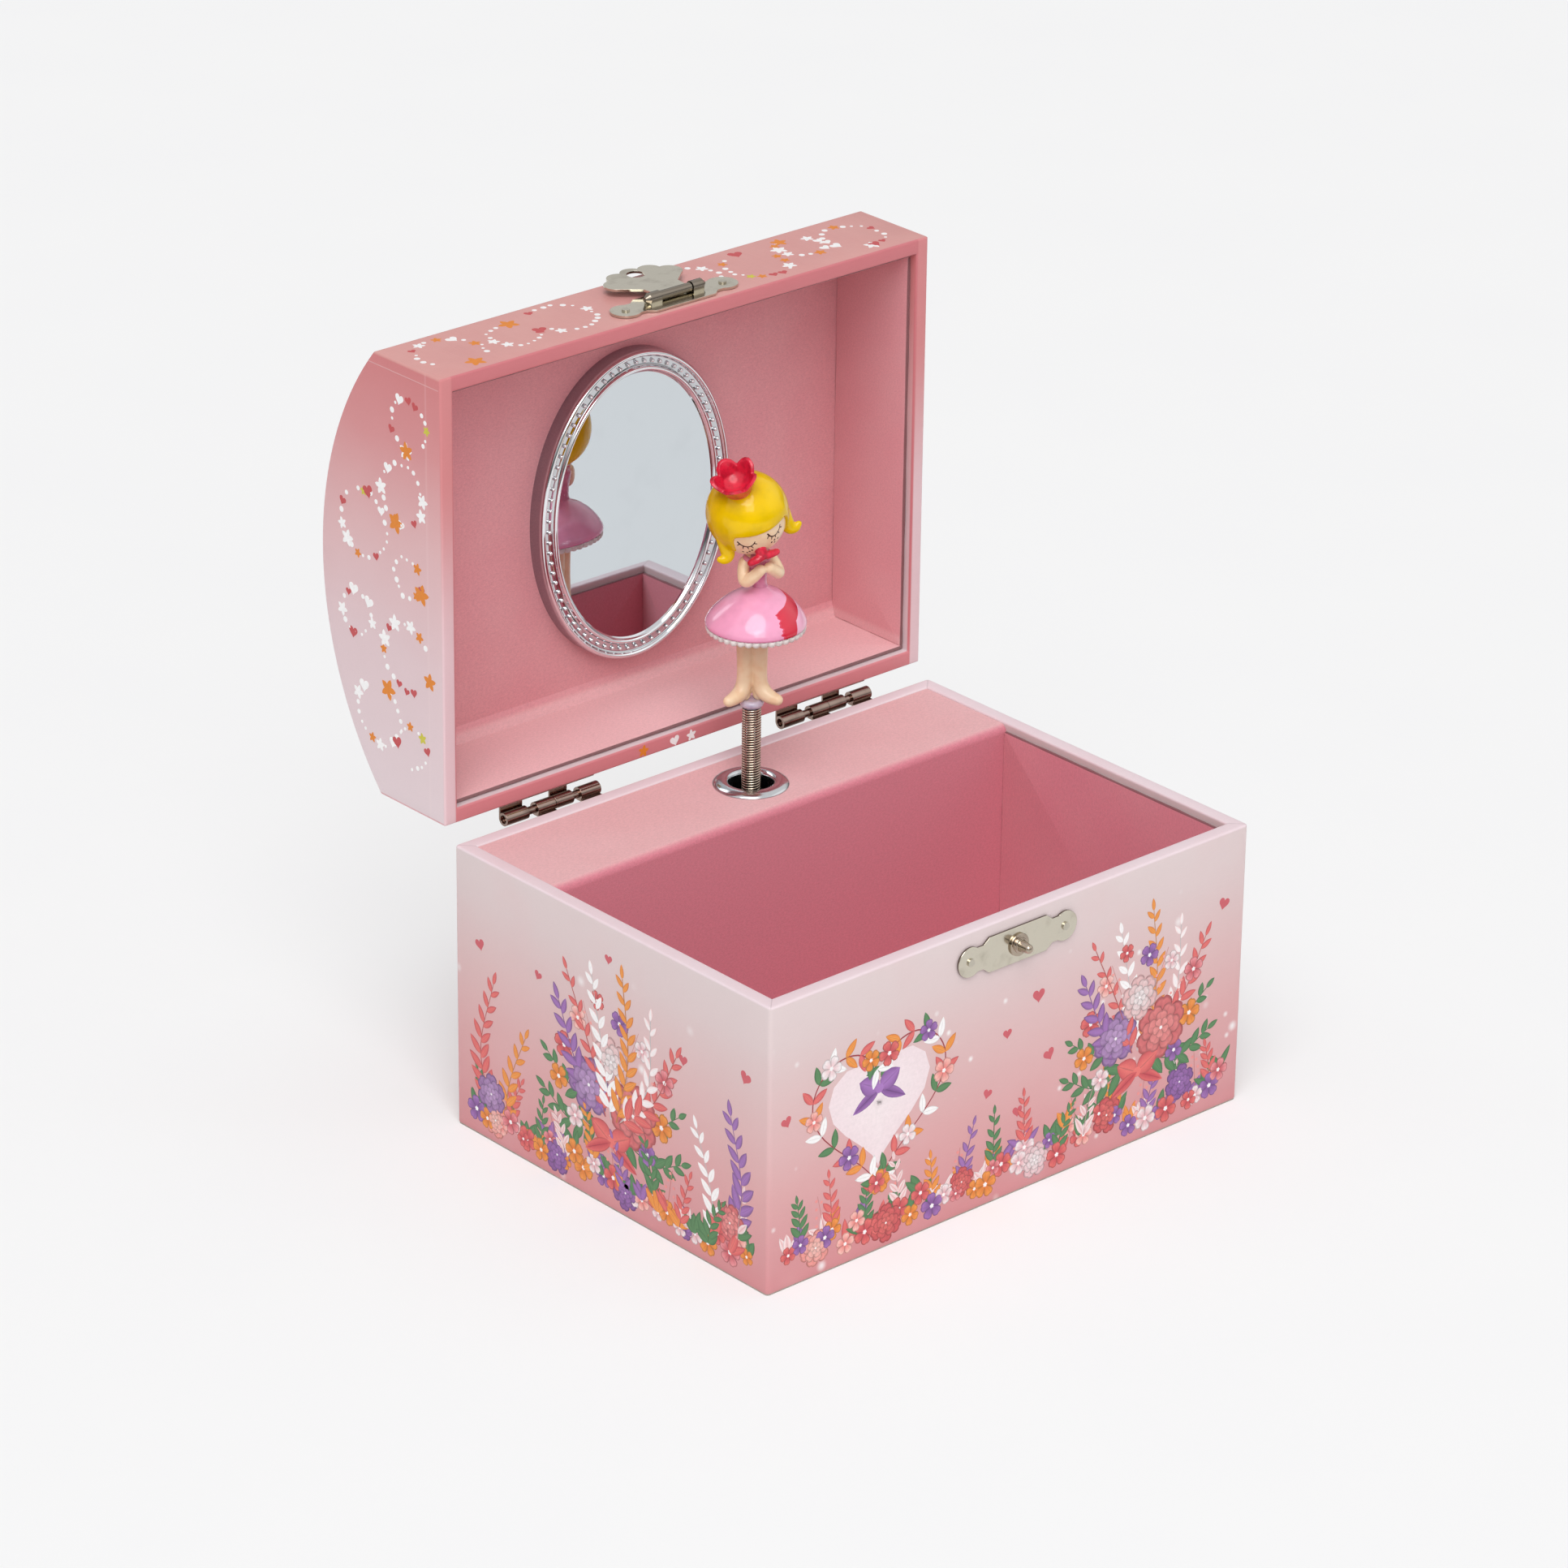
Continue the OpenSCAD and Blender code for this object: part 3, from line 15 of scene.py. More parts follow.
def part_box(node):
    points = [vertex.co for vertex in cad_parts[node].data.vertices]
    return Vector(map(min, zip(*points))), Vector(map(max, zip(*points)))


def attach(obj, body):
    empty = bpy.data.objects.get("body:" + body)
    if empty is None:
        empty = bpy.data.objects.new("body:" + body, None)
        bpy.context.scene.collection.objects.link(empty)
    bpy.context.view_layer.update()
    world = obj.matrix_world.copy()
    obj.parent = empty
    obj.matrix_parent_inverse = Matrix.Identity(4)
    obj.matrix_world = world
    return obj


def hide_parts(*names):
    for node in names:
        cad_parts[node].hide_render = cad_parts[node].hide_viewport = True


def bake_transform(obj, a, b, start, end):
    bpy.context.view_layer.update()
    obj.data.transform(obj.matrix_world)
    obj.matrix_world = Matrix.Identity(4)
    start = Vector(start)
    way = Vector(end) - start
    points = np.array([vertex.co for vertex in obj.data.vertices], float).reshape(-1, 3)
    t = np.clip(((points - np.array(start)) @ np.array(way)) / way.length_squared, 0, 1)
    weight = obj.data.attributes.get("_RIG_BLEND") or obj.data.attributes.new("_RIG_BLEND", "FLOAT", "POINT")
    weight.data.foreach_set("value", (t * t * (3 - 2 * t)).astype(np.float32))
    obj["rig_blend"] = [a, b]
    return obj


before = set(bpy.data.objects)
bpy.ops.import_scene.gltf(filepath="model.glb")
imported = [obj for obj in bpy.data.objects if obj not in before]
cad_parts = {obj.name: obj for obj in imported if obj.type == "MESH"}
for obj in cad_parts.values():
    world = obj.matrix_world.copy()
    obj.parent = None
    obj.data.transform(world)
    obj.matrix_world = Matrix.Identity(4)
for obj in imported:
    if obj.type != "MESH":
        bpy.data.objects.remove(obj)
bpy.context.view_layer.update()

bl_info = {
    "name": "Ballerina Jewellery Box",
    "version": (1, 0, 0),
    "blender": (4, 5, 0),
    "location": "3D Viewport > Sidebar > Jewellery Box",
    "description": "Papers, linings, mirror, fittings and dancer of a musical jewellery box",
    "category": "Object",
}

MM = 0.001
WELD = 2e-6


def corners(node):
    """Lowest and highest corner of a node, in millimetres."""
    low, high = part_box(node)
    return np.array(low) / MM, np.array(high) / MM


BASE_LOW, BASE_HIGH = corners("base_wrap")
LID_LOW, LID_HIGH = corners("lid_wrap")
HALF = BASE_HIGH[:2]
RIM_Z = BASE_HIGH[2]
STAGE_LOW, STAGE_HIGH = corners("stage_cover")
MIRROR_LOW, MIRROR_HIGH = corners("mirror_frame")
SPRING_LOW, SPRING_HIGH = corners("figure_spring")
GROMMET_LOW, GROMMET_HIGH = corners("grommet")
WALL, PAPER, TURN_IN = 4.0, 0.15, 9.0
SKIN = 0.15  # How far the paper lies inside the CAD's faces
BASE_CORNER, LID_CORNER = 1.2, 0.57  # Radii of the upright edges
FOLD_IN, BASE_FOLD, LID_FOLD = 0.5, 0.6, 0.55  # Radii of the rims' inner and outer folds


# ---- Colours ----


def rgb(red, green, blue):
    """Linear colour of an 8-bit screen colour."""
    share = np.array([red, green, blue]) / 255
    linear = np.where(share <= 0.04045, share / 12.92, ((share + 0.055) / 1.055) ** 2.4)
    return tuple(float(c) for c in linear)


CORAL = rgb(208, 122, 124)
RIM = rgb(234, 221, 226)
WHITE = rgb(248, 246, 246)
FLOCK = rgb(223, 154, 161)
CRIMSON = rgb(196, 66, 78)
CORAL_PINK = rgb(232, 118, 112)
LILAC = rgb(168, 118, 190)
VIOLET = rgb(122, 74, 142)
PLUM = rgb(112, 72, 122)
ORANGE = rgb(222, 118, 40)
AMBER = rgb(240, 158, 70)
LEAF_GREEN = rgb(92, 142, 92)
DEEP_GREEN = rgb(58, 104, 66)
LIME = rgb(205, 196, 60)
INK = rgb(74, 36, 30)
GUNMETAL = rgb(150, 130, 120)
CHAMPAGNE = rgb(206, 200, 184)
BRASS = rgb(196, 160, 92)
STEEL = rgb(168, 168, 170)
HEART_RED = rgb(204, 92, 102)
STAR_ORANGE = rgb(226, 132, 28)
PALE_VEIN = rgb(226, 196, 198)
# A leaf's colour at its midrib and at its edge
GREEN_LEAF, WHITE_LEAF = (LEAF_GREEN, DEEP_GREEN), (WHITE, WHITE)
CORAL_LEAF, AMBER_LEAF, LILAC_LEAF = (CORAL_PINK, CRIMSON), (AMBER, ORANGE), (LILAC, PLUM)
# A bloom's colour at its heart and at its petals' tips
RED_BLOOM, VIOLET_BLOOM, ORANGE_BLOOM = (CRIMSON, CORAL_PINK), (VIOLET, LILAC), (ORANGE, AMBER)
ROSE_BLOOM, PALE_BLOOM = (rgb(226, 160, 168), WHITE), (rgb(226, 150, 150), WHITE)
PINK_BLOOM, CORAL_BLOOM = (CRIMSON, rgb(240, 160, 165)), (CORAL_PINK, rgb(250, 206, 196))
FULL_RED, FULL_VIOLET = (CRIMSON, rgb(246, 160, 156)), (VIOLET, rgb(206, 170, 216))


def dimmed(colour, share):
    """The colour times a share."""
    return tuple(share * c for c in colour)


def blend(share, start, end):
    """Colours between two, for an array of shares from 0 to 1."""
    share = np.clip(np.asarray(share, float), 0, 1)[..., None]
    return np.asarray(start) * (1 - share) + np.asarray(end) * share


# ---- Surfaces ----

METAL_EDGE, SOFT_EDGE = 35, 60  # Degrees from which an edge of metal or resin shows

class Shape:
    """A piece in the making: grids of points that become one mesh."""

    def __init__(self):
        self.points, self.quads, self.tints, self.count = [], [], [], 0

    def grid(self, points, rows=False, columns=False, tint=WHITE):
        """Adds a grid of points (rows, columns, 3). rows or columns joins its last line to
        its first."""
        m, n = points.shape[:2]
        index = np.arange(m * n).reshape(m, n) + self.count
        if rows:
            index = np.concatenate([index, index[:1]], 0)
        if columns:
            index = np.concatenate([index, index[:, :1]], 1)
        quads = np.stack([index[:-1, :-1], index[1:, :-1], index[1:, 1:], index[:-1, 1:]], -1)
        self.points.append(points.reshape(-1, 3))
        self.quads.append(quads.reshape(-1, 4))
        self.tints.append(np.broadcast_to(tint, (m, n, 3)).reshape(-1, 3))
        self.count += m * n

    def build(self, name, body, slot, paint, node=None, sharp=42):
        """Makes the mesh, closes its seams and poles, and lets it ride on a body."""
        mesh = bpy.data.meshes.new(name)
        points = np.concatenate(self.points) * MM
        mesh.from_pydata(points, [], np.concatenate(self.quads).tolist())
        tints = np.concatenate(self.tints)
        colours = np.concatenate([tints, np.ones((len(tints), 1))], 1).astype(np.float32)
        layer = mesh.attributes.new("tint", "FLOAT_COLOR", "POINT")
        layer.data.foreach_set("color", colours.ravel())
        welded(mesh, lambda work: bmesh.ops.recalc_face_normals(work, faces=work.faces))
        return finished(mesh, name, body, slot, paint, node, sharp)


def welded(mesh, then):
    """Merges the points of a mesh that lie together, and does one more thing to it."""
    work = bmesh.new()
    work.from_mesh(mesh)
    bmesh.ops.remove_doubles(work, verts=work.verts, dist=WELD)
    then(work)
    work.to_mesh(mesh)
    work.free()


def finished(mesh, name, body, slot, paint, node, sharp):
    """An object of a mesh, shaded smooth but for its sharp edges. It rides on its body and
    takes the place of a CAD node, where these are given."""
    mesh.polygons.foreach_set("use_smooth", np.ones(len(mesh.polygons), bool))
    mesh.set_sharp_from_angle(angle=radians(sharp))
    piece = bpy.data.objects.new(name, mesh)
    bpy.context.scene.collection.objects.link(piece)
    mesh.materials.clear()
    mesh.materials.append(paint)
    if body:
        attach(piece, body)
    if node:
        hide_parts(node)
    return piece


def softened(node, name, body, slot, paint, width):
    """A copy of a node with its loose triangles merged, its flat faces joined and its edges
    rounded by a bevel."""
    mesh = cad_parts[node].data.copy()
    welded(mesh, lambda work: bmesh.ops.dissolve_limit(
        work, angle_limit=radians(1), verts=work.verts, edges=work.edges))
    mesh.name = name
    for layer in [a.name for a in mesh.attributes if a.name.startswith("custom_normal")]:
        mesh.attributes.remove(mesh.attributes[layer])
    piece = finished(mesh, name, body, slot, paint, node, METAL_EDGE)
    if width:
        bevel = piece.modifiers.new("edges", "BEVEL")
        bevel.width, bevel.segments, bevel.use_clamp_overlap = width * MM, 2, True
        bevel.limit_method, bevel.angle_limit = "ANGLE", radians(METAL_EDGE)
    return piece


def full_turn(count):
    """Angles at even steps round a whole turn."""
    return np.linspace(0, 2 * pi, count, endpoint=False)


def arc(centre, radius, start, end, count):
    """Points on part of a circle: centre plus radius times the cosine and sine of the angle,
    in degrees."""
    turn = np.radians(np.linspace(start, end, count))
    return np.stack([centre[0] + radius * np.cos(turn), centre[1] + radius * np.sin(turn)], 1)


def round_path(along_x, along_y, corner):
    """A closed path round a rectangle with round corners. Each point is four numbers: the share
    of the half width and half depth where its corner has its centre, and the cosine and sine of
    its direction from there."""
    signs = np.array([[1, 1], [-1, 1], [-1, -1], [1, -1]], float)
    quarter = np.linspace(0, pi / 2, corner + 1)
    parts = []
    for turn in range(4):
        angle = quarter + turn * pi / 2
        here, after = signs[turn], signs[(turn + 1) % 4]
        parts.append(np.stack([here[0] + 0 * angle, here[1] + 0 * angle, np.cos(angle),
                               np.sin(angle)], 1))
        steps = (along_x, along_y)[turn % 2]
        share = np.linspace(0, 1, steps + 1)[1:-1, None]
        straight = here * (1 - share) + after * share
        facing = np.array([cos(angle[-1]), sin(angle[-1])]) + 0 * straight
        parts.append(np.concatenate([straight, facing], 1))
    return np.concatenate(parts)


def ringed(path, half, inset, radius):
    """Plan points of the path at each inset: the corner's centre is half less the inset less
    the radius, and the point lies the radius further on. inset and radius are arrays of rows."""
    inset, radius = np.asarray(inset, float)[:, None], np.asarray(radius, float)[:, None]
    radius = np.minimum(radius, np.maximum(min(half) - inset, 0))
    x = path[:, 0] * (half[0] - inset - radius) + path[:, 2] * radius
    y = path[:, 1] * (half[1] - inset - radius) + path[:, 3] * radius
    return x, y


def slab(shape, low, high, axis, edge, wobble):
    """A card with round edges. Its outline is a rectangle with round corners, carried across the
    thickness with the inset of a quarter circle at each face, then shrunk to a line to close
    the face. wobble moves the outline in and out by a sum of sines."""
    low, high = np.asarray(low, float), np.asarray(high, float)
    flat = [a for a in range(3) if a != axis]
    half = (high - low)[flat] / 2
    thick = (high - low)[axis]
    edge = min(edge, thick / 2)
    side = arc((edge, edge), edge, 270, 180, 4)
    rows = np.concatenate([[[min(half), 0]], side, [[0, thick / 2]],
                           side[::-1] * [1, -1] + [0, thick], [[min(half), thick]]])
    path = round_path(40, 40, 3)
    x, y = ringed(path, half, rows[:, 0], np.full(len(rows), edge))
    along = full_turn(len(path))
    ripple = np.sin(9 * along) + 0.7 * np.sin(23 * along + 1) + 0.5 * np.sin(41 * along + 2)
    share = wobble * ripple * (rows[:, :1] < 2 * edge + 1)
    x, y = x - share * path[:, 2], y - share * path[:, 3]
    points = np.empty(x.shape + (3,))
    points[..., flat[0]], points[..., flat[1]] = x, y
    points[..., axis] = rows[:, 1:] - thick / 2
    shape.grid(points + (low + high) / 2, columns=True)


def circled(radius, height, turn, shift=0.0):
    """Points at a radius and a height, for each angle round an upright axis."""
    return np.stack([shift + radius * np.cos(turn), radius * np.sin(turn), height + 0 * turn],
                    -1)


def turned(shape, profile, centre, count, axis=2):
    """A profile of radius and height turned about an axis."""
    profile = np.asarray(profile, float)
    across = circled(profile[:, :1], profile[:, 1:], full_turn(count))
    order = {0: [2, 0, 1], 1: [1, 2, 0], 2: [0, 1, 2]}[axis]
    closed = np.allclose(profile[0], profile[-1])
    shape.grid(across[:-1 if closed else None][..., order] + np.asarray(centre, float),
               rows=closed, columns=True)


def tube(shape, path, radius, around, flat=1.0, lean=(0, 0, 1)):
    """A round section carried along a path. The section lies across the path's direction, its
    radius changes along it, and flat squeezes it along lean. Both ends close in a dome."""
    path = np.asarray(path, float)
    radius = np.broadcast_to(radius, len(path)).astype(float)
    ahead = np.gradient(path, axis=0)
    ahead /= np.linalg.norm(ahead, axis=1, keepdims=True)
    side = np.cross(ahead, lean)
    side /= np.maximum(np.linalg.norm(side, axis=1, keepdims=True), 1e-9)
    up = np.cross(side, ahead)
    dome = np.linspace(pi / 2, 0, 6)[:-1]
    start = path[0] - ahead[0] * radius[0] * np.sin(dome)[:, None]
    end = path[-1] + ahead[-1] * radius[-1] * np.sin(dome[::-1])[:, None]
    centre = np.concatenate([start, path, end])
    size = np.concatenate([radius[0] * np.cos(dome), radius, radius[-1] * np.cos(dome[::-1])])
    pick = np.concatenate([np.zeros(5, int), np.arange(len(path)), np.full(5, len(path) - 1)])
    turn = full_turn(around)[:, None, None]
    ring = side[pick] * np.cos(turn) + up[pick] * np.sin(turn) * flat
    shape.grid(np.swapaxes(centre + ring * size[:, None], 0, 1), columns=True)


def smooth_path(points, count):
    """A smooth line through a few points: each stretch is the cubic whose end slopes are half
    the step between its neighbours. Any number of values per point goes along."""
    points = np.asarray(points, float)
    ends = np.concatenate([[2 * points[0] - points[1]], points, [2 * points[-1] - points[-2]]])
    place = np.linspace(0, len(points) - 1, count)
    step = np.minimum(place.astype(int), len(points) - 2)
    t = (place - step)[:, None]
    p0, p1, p2, p3 = ends[step], ends[step + 1], ends[step + 2], ends[step + 3]
    return 0.5 * (2 * p1 + (p2 - p0) * t + (2 * p0 - 5 * p1 + 4 * p2 - p3) * t**2
                  + (3 * p1 - p0 - 3 * p2 + p3) * t**3)


# ---- Shaders ----


class Value:
    """A shader socket that takes part in arithmetic."""

    def __init__(self, paint, socket):
        self.paint, self.socket = paint, socket

    def math(self, operation, *values, **settings):
        return self.paint.node("ShaderNodeMath", {"operation": operation, **settings},
                               dict(enumerate(values)))

    def __rsub__(self, other):
        return self.math("SUBTRACT", other, self)

    def __abs__(self):
        return self.math("ABSOLUTE", self)

    def __add__(self, other):
        return self.math("ADD", self, other)

    def __sub__(self, other):
        return self.math("SUBTRACT", self, other)

    def __mul__(self, other):
        return self.math("MULTIPLY", self, other)

    def __truediv__(self, other):
        return self.math("DIVIDE", self, other)

    def __pow__(self, other):
        return self.math("POWER", self, other)

    def __gt__(self, other):
        return self.math("GREATER_THAN", self, other)

    __radd__, __rmul__ = __add__, __mul__

    def clamped(self):
        return self.math("MULTIPLY", self, 1.0, use_clamp=True)

    def rise(self, low, high, slope="SMOOTHSTEP"):
        """0 below low, 1 above high, and a slope between."""
        return self.paint.node("ShaderNodeMapRange", {"interpolation_type": slope},
                               {"Value": self, "From Min": low, "From Max": high})

    def reach(self, other):
        """The length of the diagonal of two lengths at right angles."""
        return (self * self + other * other) ** 0.5

    def beside(self, name):
        """Another output of the same node."""
        return Value(self.paint, self.socket.node.outputs[name])


class Graph:
    """A node tree in the making."""

    def __init__(self, tree):
        self.tree = tree
        tree.nodes.clear()

    def node(self, kind, settings=None, inputs=None, out=0):
        """Adds a node: its settings first, then the values or links of its sockets."""
        made = self.tree.nodes.new(kind)
        for key, value in (settings or {}).items():
            if key == "stops":
                ramp = made.color_ramp.elements
                while len(ramp) < len(value):
                    ramp.new(1)
                for stop, (place, colour) in zip(ramp, value):
                    stop.position, stop.color = place, (*colour, 1)
            else:
                setattr(made, key, value)
        for key, value in (inputs or {}).items():
            if isinstance(value, Value):
                self.tree.links.new(value.socket, made.inputs[key])
            elif isinstance(value, tuple) and made.inputs[key].type == "RGBA":
                made.inputs[key].default_value = (*value[:3], 1)
            else:
                made.inputs[key].default_value = value
        return Value(self, made.outputs[out])

    def end(self, kind, shader):
        """Ends the tree in one shader."""
        self.tree.links.new(shader.socket, self.tree.nodes.new(kind).inputs["Surface"])


class Paint(Graph):
    """A material, its nodes, and the coordinates of its surface in millimetres."""

    def __init__(self, name):
        self.material = bpy.data.materials.new(name)
        self.material.use_nodes = True
        super().__init__(self.material.node_tree)
        place = self.node("ShaderNodeTexCoord", out="Object")
        self.mm = self.node("ShaderNodeVectorMath", {"operation": "SCALE"},
                            {0: place, "Scale": 1 / MM})
        self.x, self.y, self.z = (self.node("ShaderNodeSeparateXYZ", {}, {0: self.mm}, axis)
                                  for axis in "XYZ")

    def noise(self, size, detail=2.0, vector=None, rough=0.5):
        """Noise whose lumps are about size millimetres across."""
        return self.node("ShaderNodeTexNoise", {},
                         {"Vector": vector or self.mm, "Scale": 1 / size, "Detail": detail,
                          "Roughness": rough}, "Fac")

    def stretched(self, sx, sy, sz):
        """The coordinates with each axis multiplied, for grain along one direction."""
        return self.node("ShaderNodeVectorMath", {"operation": "MULTIPLY"},
                         {0: self.mm, 1: (sx, sy, sz)})

    def mix(self, share, start, end, way="MIX"):
        return self.node("ShaderNodeMix", {"data_type": "RGBA", "blend_type": way},
                         {0: share, 6: start, 7: end}, 2)

    def ramp(self, value, *stops):
        return self.node("ShaderNodeValToRGB", {"stops": stops}, {0: value}, "Color")

    def shaded(self, colour, amount, low, high):
        """The colour times a grey that runs from low to high with amount."""
        grey = amount.math("MULTIPLY_ADD", amount, high - low, low)
        shade = self.node("ShaderNodeCombineColor", {}, {0: grey, 1: grey, 2: grey})
        return self.mix(1.0, colour, shade, "MULTIPLY")

    def skin(self, colour, roughness, bump=None, depth=0.05, **constants):
        """Ends the material in one shader. bump is a height from 0 to 1, depth millimetres."""
        inputs = {"Base Color": colour, "Roughness": roughness}
        inputs.update({key.replace("_", " "): value for key, value in constants.items()})
        if bump is not None:
            inputs["Normal"] = self.node("ShaderNodeBump", {},
                                         {"Height": bump, "Distance": depth * MM,
                                          "Strength": 1.0})
        self.end("ShaderNodeOutputMaterial", self.node("ShaderNodeBsdfPrincipled", {}, inputs))
        return self.material


def sparkles(paint, cell, size, share):
    """Soft white specks: near a cell's point, in the share of the cells whose random value
    is high enough."""
    spots = {"Vector": paint.mm, "Scale": 1 / cell, "Randomness": 1.0}
    near = paint.node("ShaderNodeTexVoronoi", {}, spots, "Distance")
    pick = paint.node("ShaderNodeTexVoronoi", {}, spots, "Color")
    chance = paint.node("ShaderNodeSeparateColor", {}, {0: pick}, "Red")
    glow = 1 - (near * cell).rise(0.0, size)
    return glow * (chance > 1 - share)


def paper_grain(paint):
    """Height of satin wrapping paper: a fine felt with a faint weave of laid lines."""
    fine = paint.noise(0.22, 2.0)
    laid = paint.noise(0.6, 1.0, paint.stretched(0.3, 1.0, 3.0))
    return fine * 0.5 + laid * 0.5


def base_paper_paint():
    """Printed paper: pale above, rose below, with soft sparkles, salmon on the back, a paler rim and a
    mitred fold at each corner of it. Painted shade darkens the folds and the foot of the walls."""
    paint = Paint("base_paper")
    height = (paint.z / RIM_Z).clamped()
    wash = paint.ramp(height, (0.0, rgb(212, 140, 144)), (0.12, rgb(213, 150, 153)),
                      (0.35, rgb(218, 166, 167)), (0.63, rgb(220, 187, 187)),
                      (0.85, rgb(220, 201, 201)), (1.0, rgb(221, 205, 205)))
    cloud = paint.noise(26, 3.0)
    colour = paint.mix(cloud.rise(0.45, 0.75) * 0.2, wash, rgb(224, 186, 188))
    low = 1 - paint.z.rise(50, 68)
    specks = (sparkles(paint, 11, 1.9, 0.55) + sparkles(paint, 6.1, 1.1, 0.5)) * low
    colour = paint.mix(specks.clamped() * 0.85, colour, WHITE)
    back = paint.y.rise(HALF[1] - 0.9, HALF[1] - 0.3)
    colour = paint.mix(back, colour, paint.mix(cloud, rgb(222, 148, 142), rgb(226, 160, 152)))
    rim = paint.z.rise(RIM_Z - 0.75, RIM_Z - 0.2)
    colour = paint.mix(rim * (1 - back), colour, paint.mix(cloud, RIM, rgb(232, 206, 212)))
    mitre = abs(abs(paint.x) - abs(paint.y) - (HALF[0] - HALF[1]))
    fold = (1 - mitre.rise(0.05, 0.3)) * rim
    floor_shade = 1 - (paint.z - 0.7).rise(0.0, 1.2)
    # Painted shade: darker in the rim's mitred folds and along the foot of the walls, by the floor
    colour = paint.shaded(colour, (fold * 0.75 + floor_shade * 0.25).clamped(), 1.0, 0.78)
    grain = paper_grain(paint)
    colour = paint.shaded(colour, grain, 0.965, 1.035)
    rough = paint.noise(3.0) * 0.14 + 0.36
    height_map = grain * 0.35 + paint.noise(5.0) * 0.9 - fold * 1.5
    return paint.skin(colour, rough, height_map, 0.03, Specular_IOR_Level=0.42)


def lid_paper_paint():
    """Coral on the front wall, running to pale pink at the back, faint wrinkles across the
    front wall, overlap lines near the ends' edges and a coral rim."""
    paint = Paint("lid_paper")
    top, low = LID_HIGH[2], LID_LOW[2]
    rise = ((paint.z - low) / (top - low)).clamped()
    wave = paint.noise(30, 2.0) * 0.1 - 0.05
    wash = paint.ramp(rise + wave, (0.0, rgb(226, 208, 212)), (0.35, rgb(224, 198, 202)),
                      (0.6, rgb(222, 178, 180)), (0.82, rgb(214, 142, 144)), (1.0, CORAL))
    front = paint.z.rise(top - 0.9, top - 0.35)
    back = 1 - paint.z.rise(low + 0.35, low + 0.9)
    face = paint.y - LID_LOW[1]
    rim = 1 - face.rise(0.2, 0.75)
    lip = paint.mix(rise.rise(0.03, 0.1), rgb(212, 128, 134), rgb(204, 116, 122))
    inner = (abs(paint.x) - (HALF[0] - WALL)).rise(0.3, 0.8)
    side_rim = paint.mix(rise.rise(0.35, 0.8), rgb(228, 196, 201), rgb(212, 132, 134))
    lip = paint.mix(inner, lip, side_rim)
    colour = paint.mix(front, wash, paint.mix(paint.noise(18), rgb(211, 144, 141),
                                              rgb(219, 162, 156)))
    colour = paint.mix(back, colour, paint.mix(paint.noise(14), rgb(212, 130, 138),
                                               rgb(218, 142, 150)))
    colour = paint.mix(rim, colour, lip)
    ends = (abs(paint.x) - HALF[0]).rise(-0.25, -0.1)
    seam = (1 - abs(paint.z - (top - 3.1)).rise(0.06, 0.16)) * face.rise(0.6, 1.0)
    step = 1 - abs(face - 5.6).rise(0.1, 0.5)
    lines = ends * (seam + step * 0.35).clamped()
    colour = paint.mix(lines * 0.45, colour, rgb(244, 222, 222))
    wrinkles = paint.noise(2.2, 3.0, paint.stretched(1.6, 0.16, 1.0), 0.6)
    crease = (wrinkles - 0.5) * front
    grain = paper_grain(paint)
    # The grain is the paper's own; the creases add painted shade and highlight along the wrinkles
    colour = paint.shaded(colour, grain + crease * 0.7, 0.96, 1.04)
    rough = paint.noise(4.0) * 0.16 + 0.3
    height = grain * 0.3 + paint.noise(7.0) * 0.8 + crease * 2.2 + lines * 1.2
    return paint.skin(colour, rough, height, 0.035, Specular_IOR_Level=0.5)


def print_paint():
    """Printing ink: each motif's own colours, softened by the paper's grain."""
    paint = Paint("print_ink")
    ink = paint.node("ShaderNodeAttribute", {"attribute_name": "tint"}, {}, "Color")
    grain = paper_grain(paint)
    brush = paint.noise(0.9, 3.0)
    colour = paint.shaded(ink, grain * 0.4 + brush * 0.6, 0.86, 1.14)
    return paint.skin(colour, paint.noise(2.0) * 0.1 + 0.38, grain, 0.01,
                      Specular_IOR_Level=0.45)


def flock_paint(name, colour, pale, streak, shade=None, seam=None):
    """Flocked card: short fibres as fine specks, brushed a little one way, with slow changes of tone and a
    soft sheen. shade is an axis, a place below which another colour lies, and that colour: painted light
    where it is paler, painted shade where it is darker. seam is an axis, a place and a direction past which
    painted shade darkens the card's edge, in the gap where it meets the rim."""
    paint = Paint(name)
    fibre = paint.noise(0.5, 3.0, paint.stretched(*streak), 0.75)
    speck = paint.noise(0.16, 1.0)
    cloud = paint.noise(22, 2.0)
    tone = paint.mix(cloud.rise(0.3, 0.75) * 0.3, colour, pale)
    pile = fibre * 0.6 + speck * 0.4
    # Painted light on the lid's bottom card and painted shade on the stage's front: another colour below a
    # place along an axis
    if shade:
        along, edge, other = shade
        tone = paint.mix(1 - getattr(paint, along).rise(edge + 0.2, edge + 2.0), tone, other)
    tone = paint.shaded(tone, pile, 0.66, 1.34)
    # Painted shade: a dark brown line along the card's edge, in the gap at the rim
    if seam:
        past = (getattr(paint, seam[0]) - seam[1]) * seam[2]
        tone = paint.mix(past.rise(0.0, 0.2) * 0.8, tone, rgb(92, 58, 58))
    return paint.skin(tone, paint.noise(1.5) * 0.1 + 0.88, pile, 0.09, Sheen_Weight=0.35,
                      Sheen_Roughness=0.45, Specular_IOR_Level=0.15)


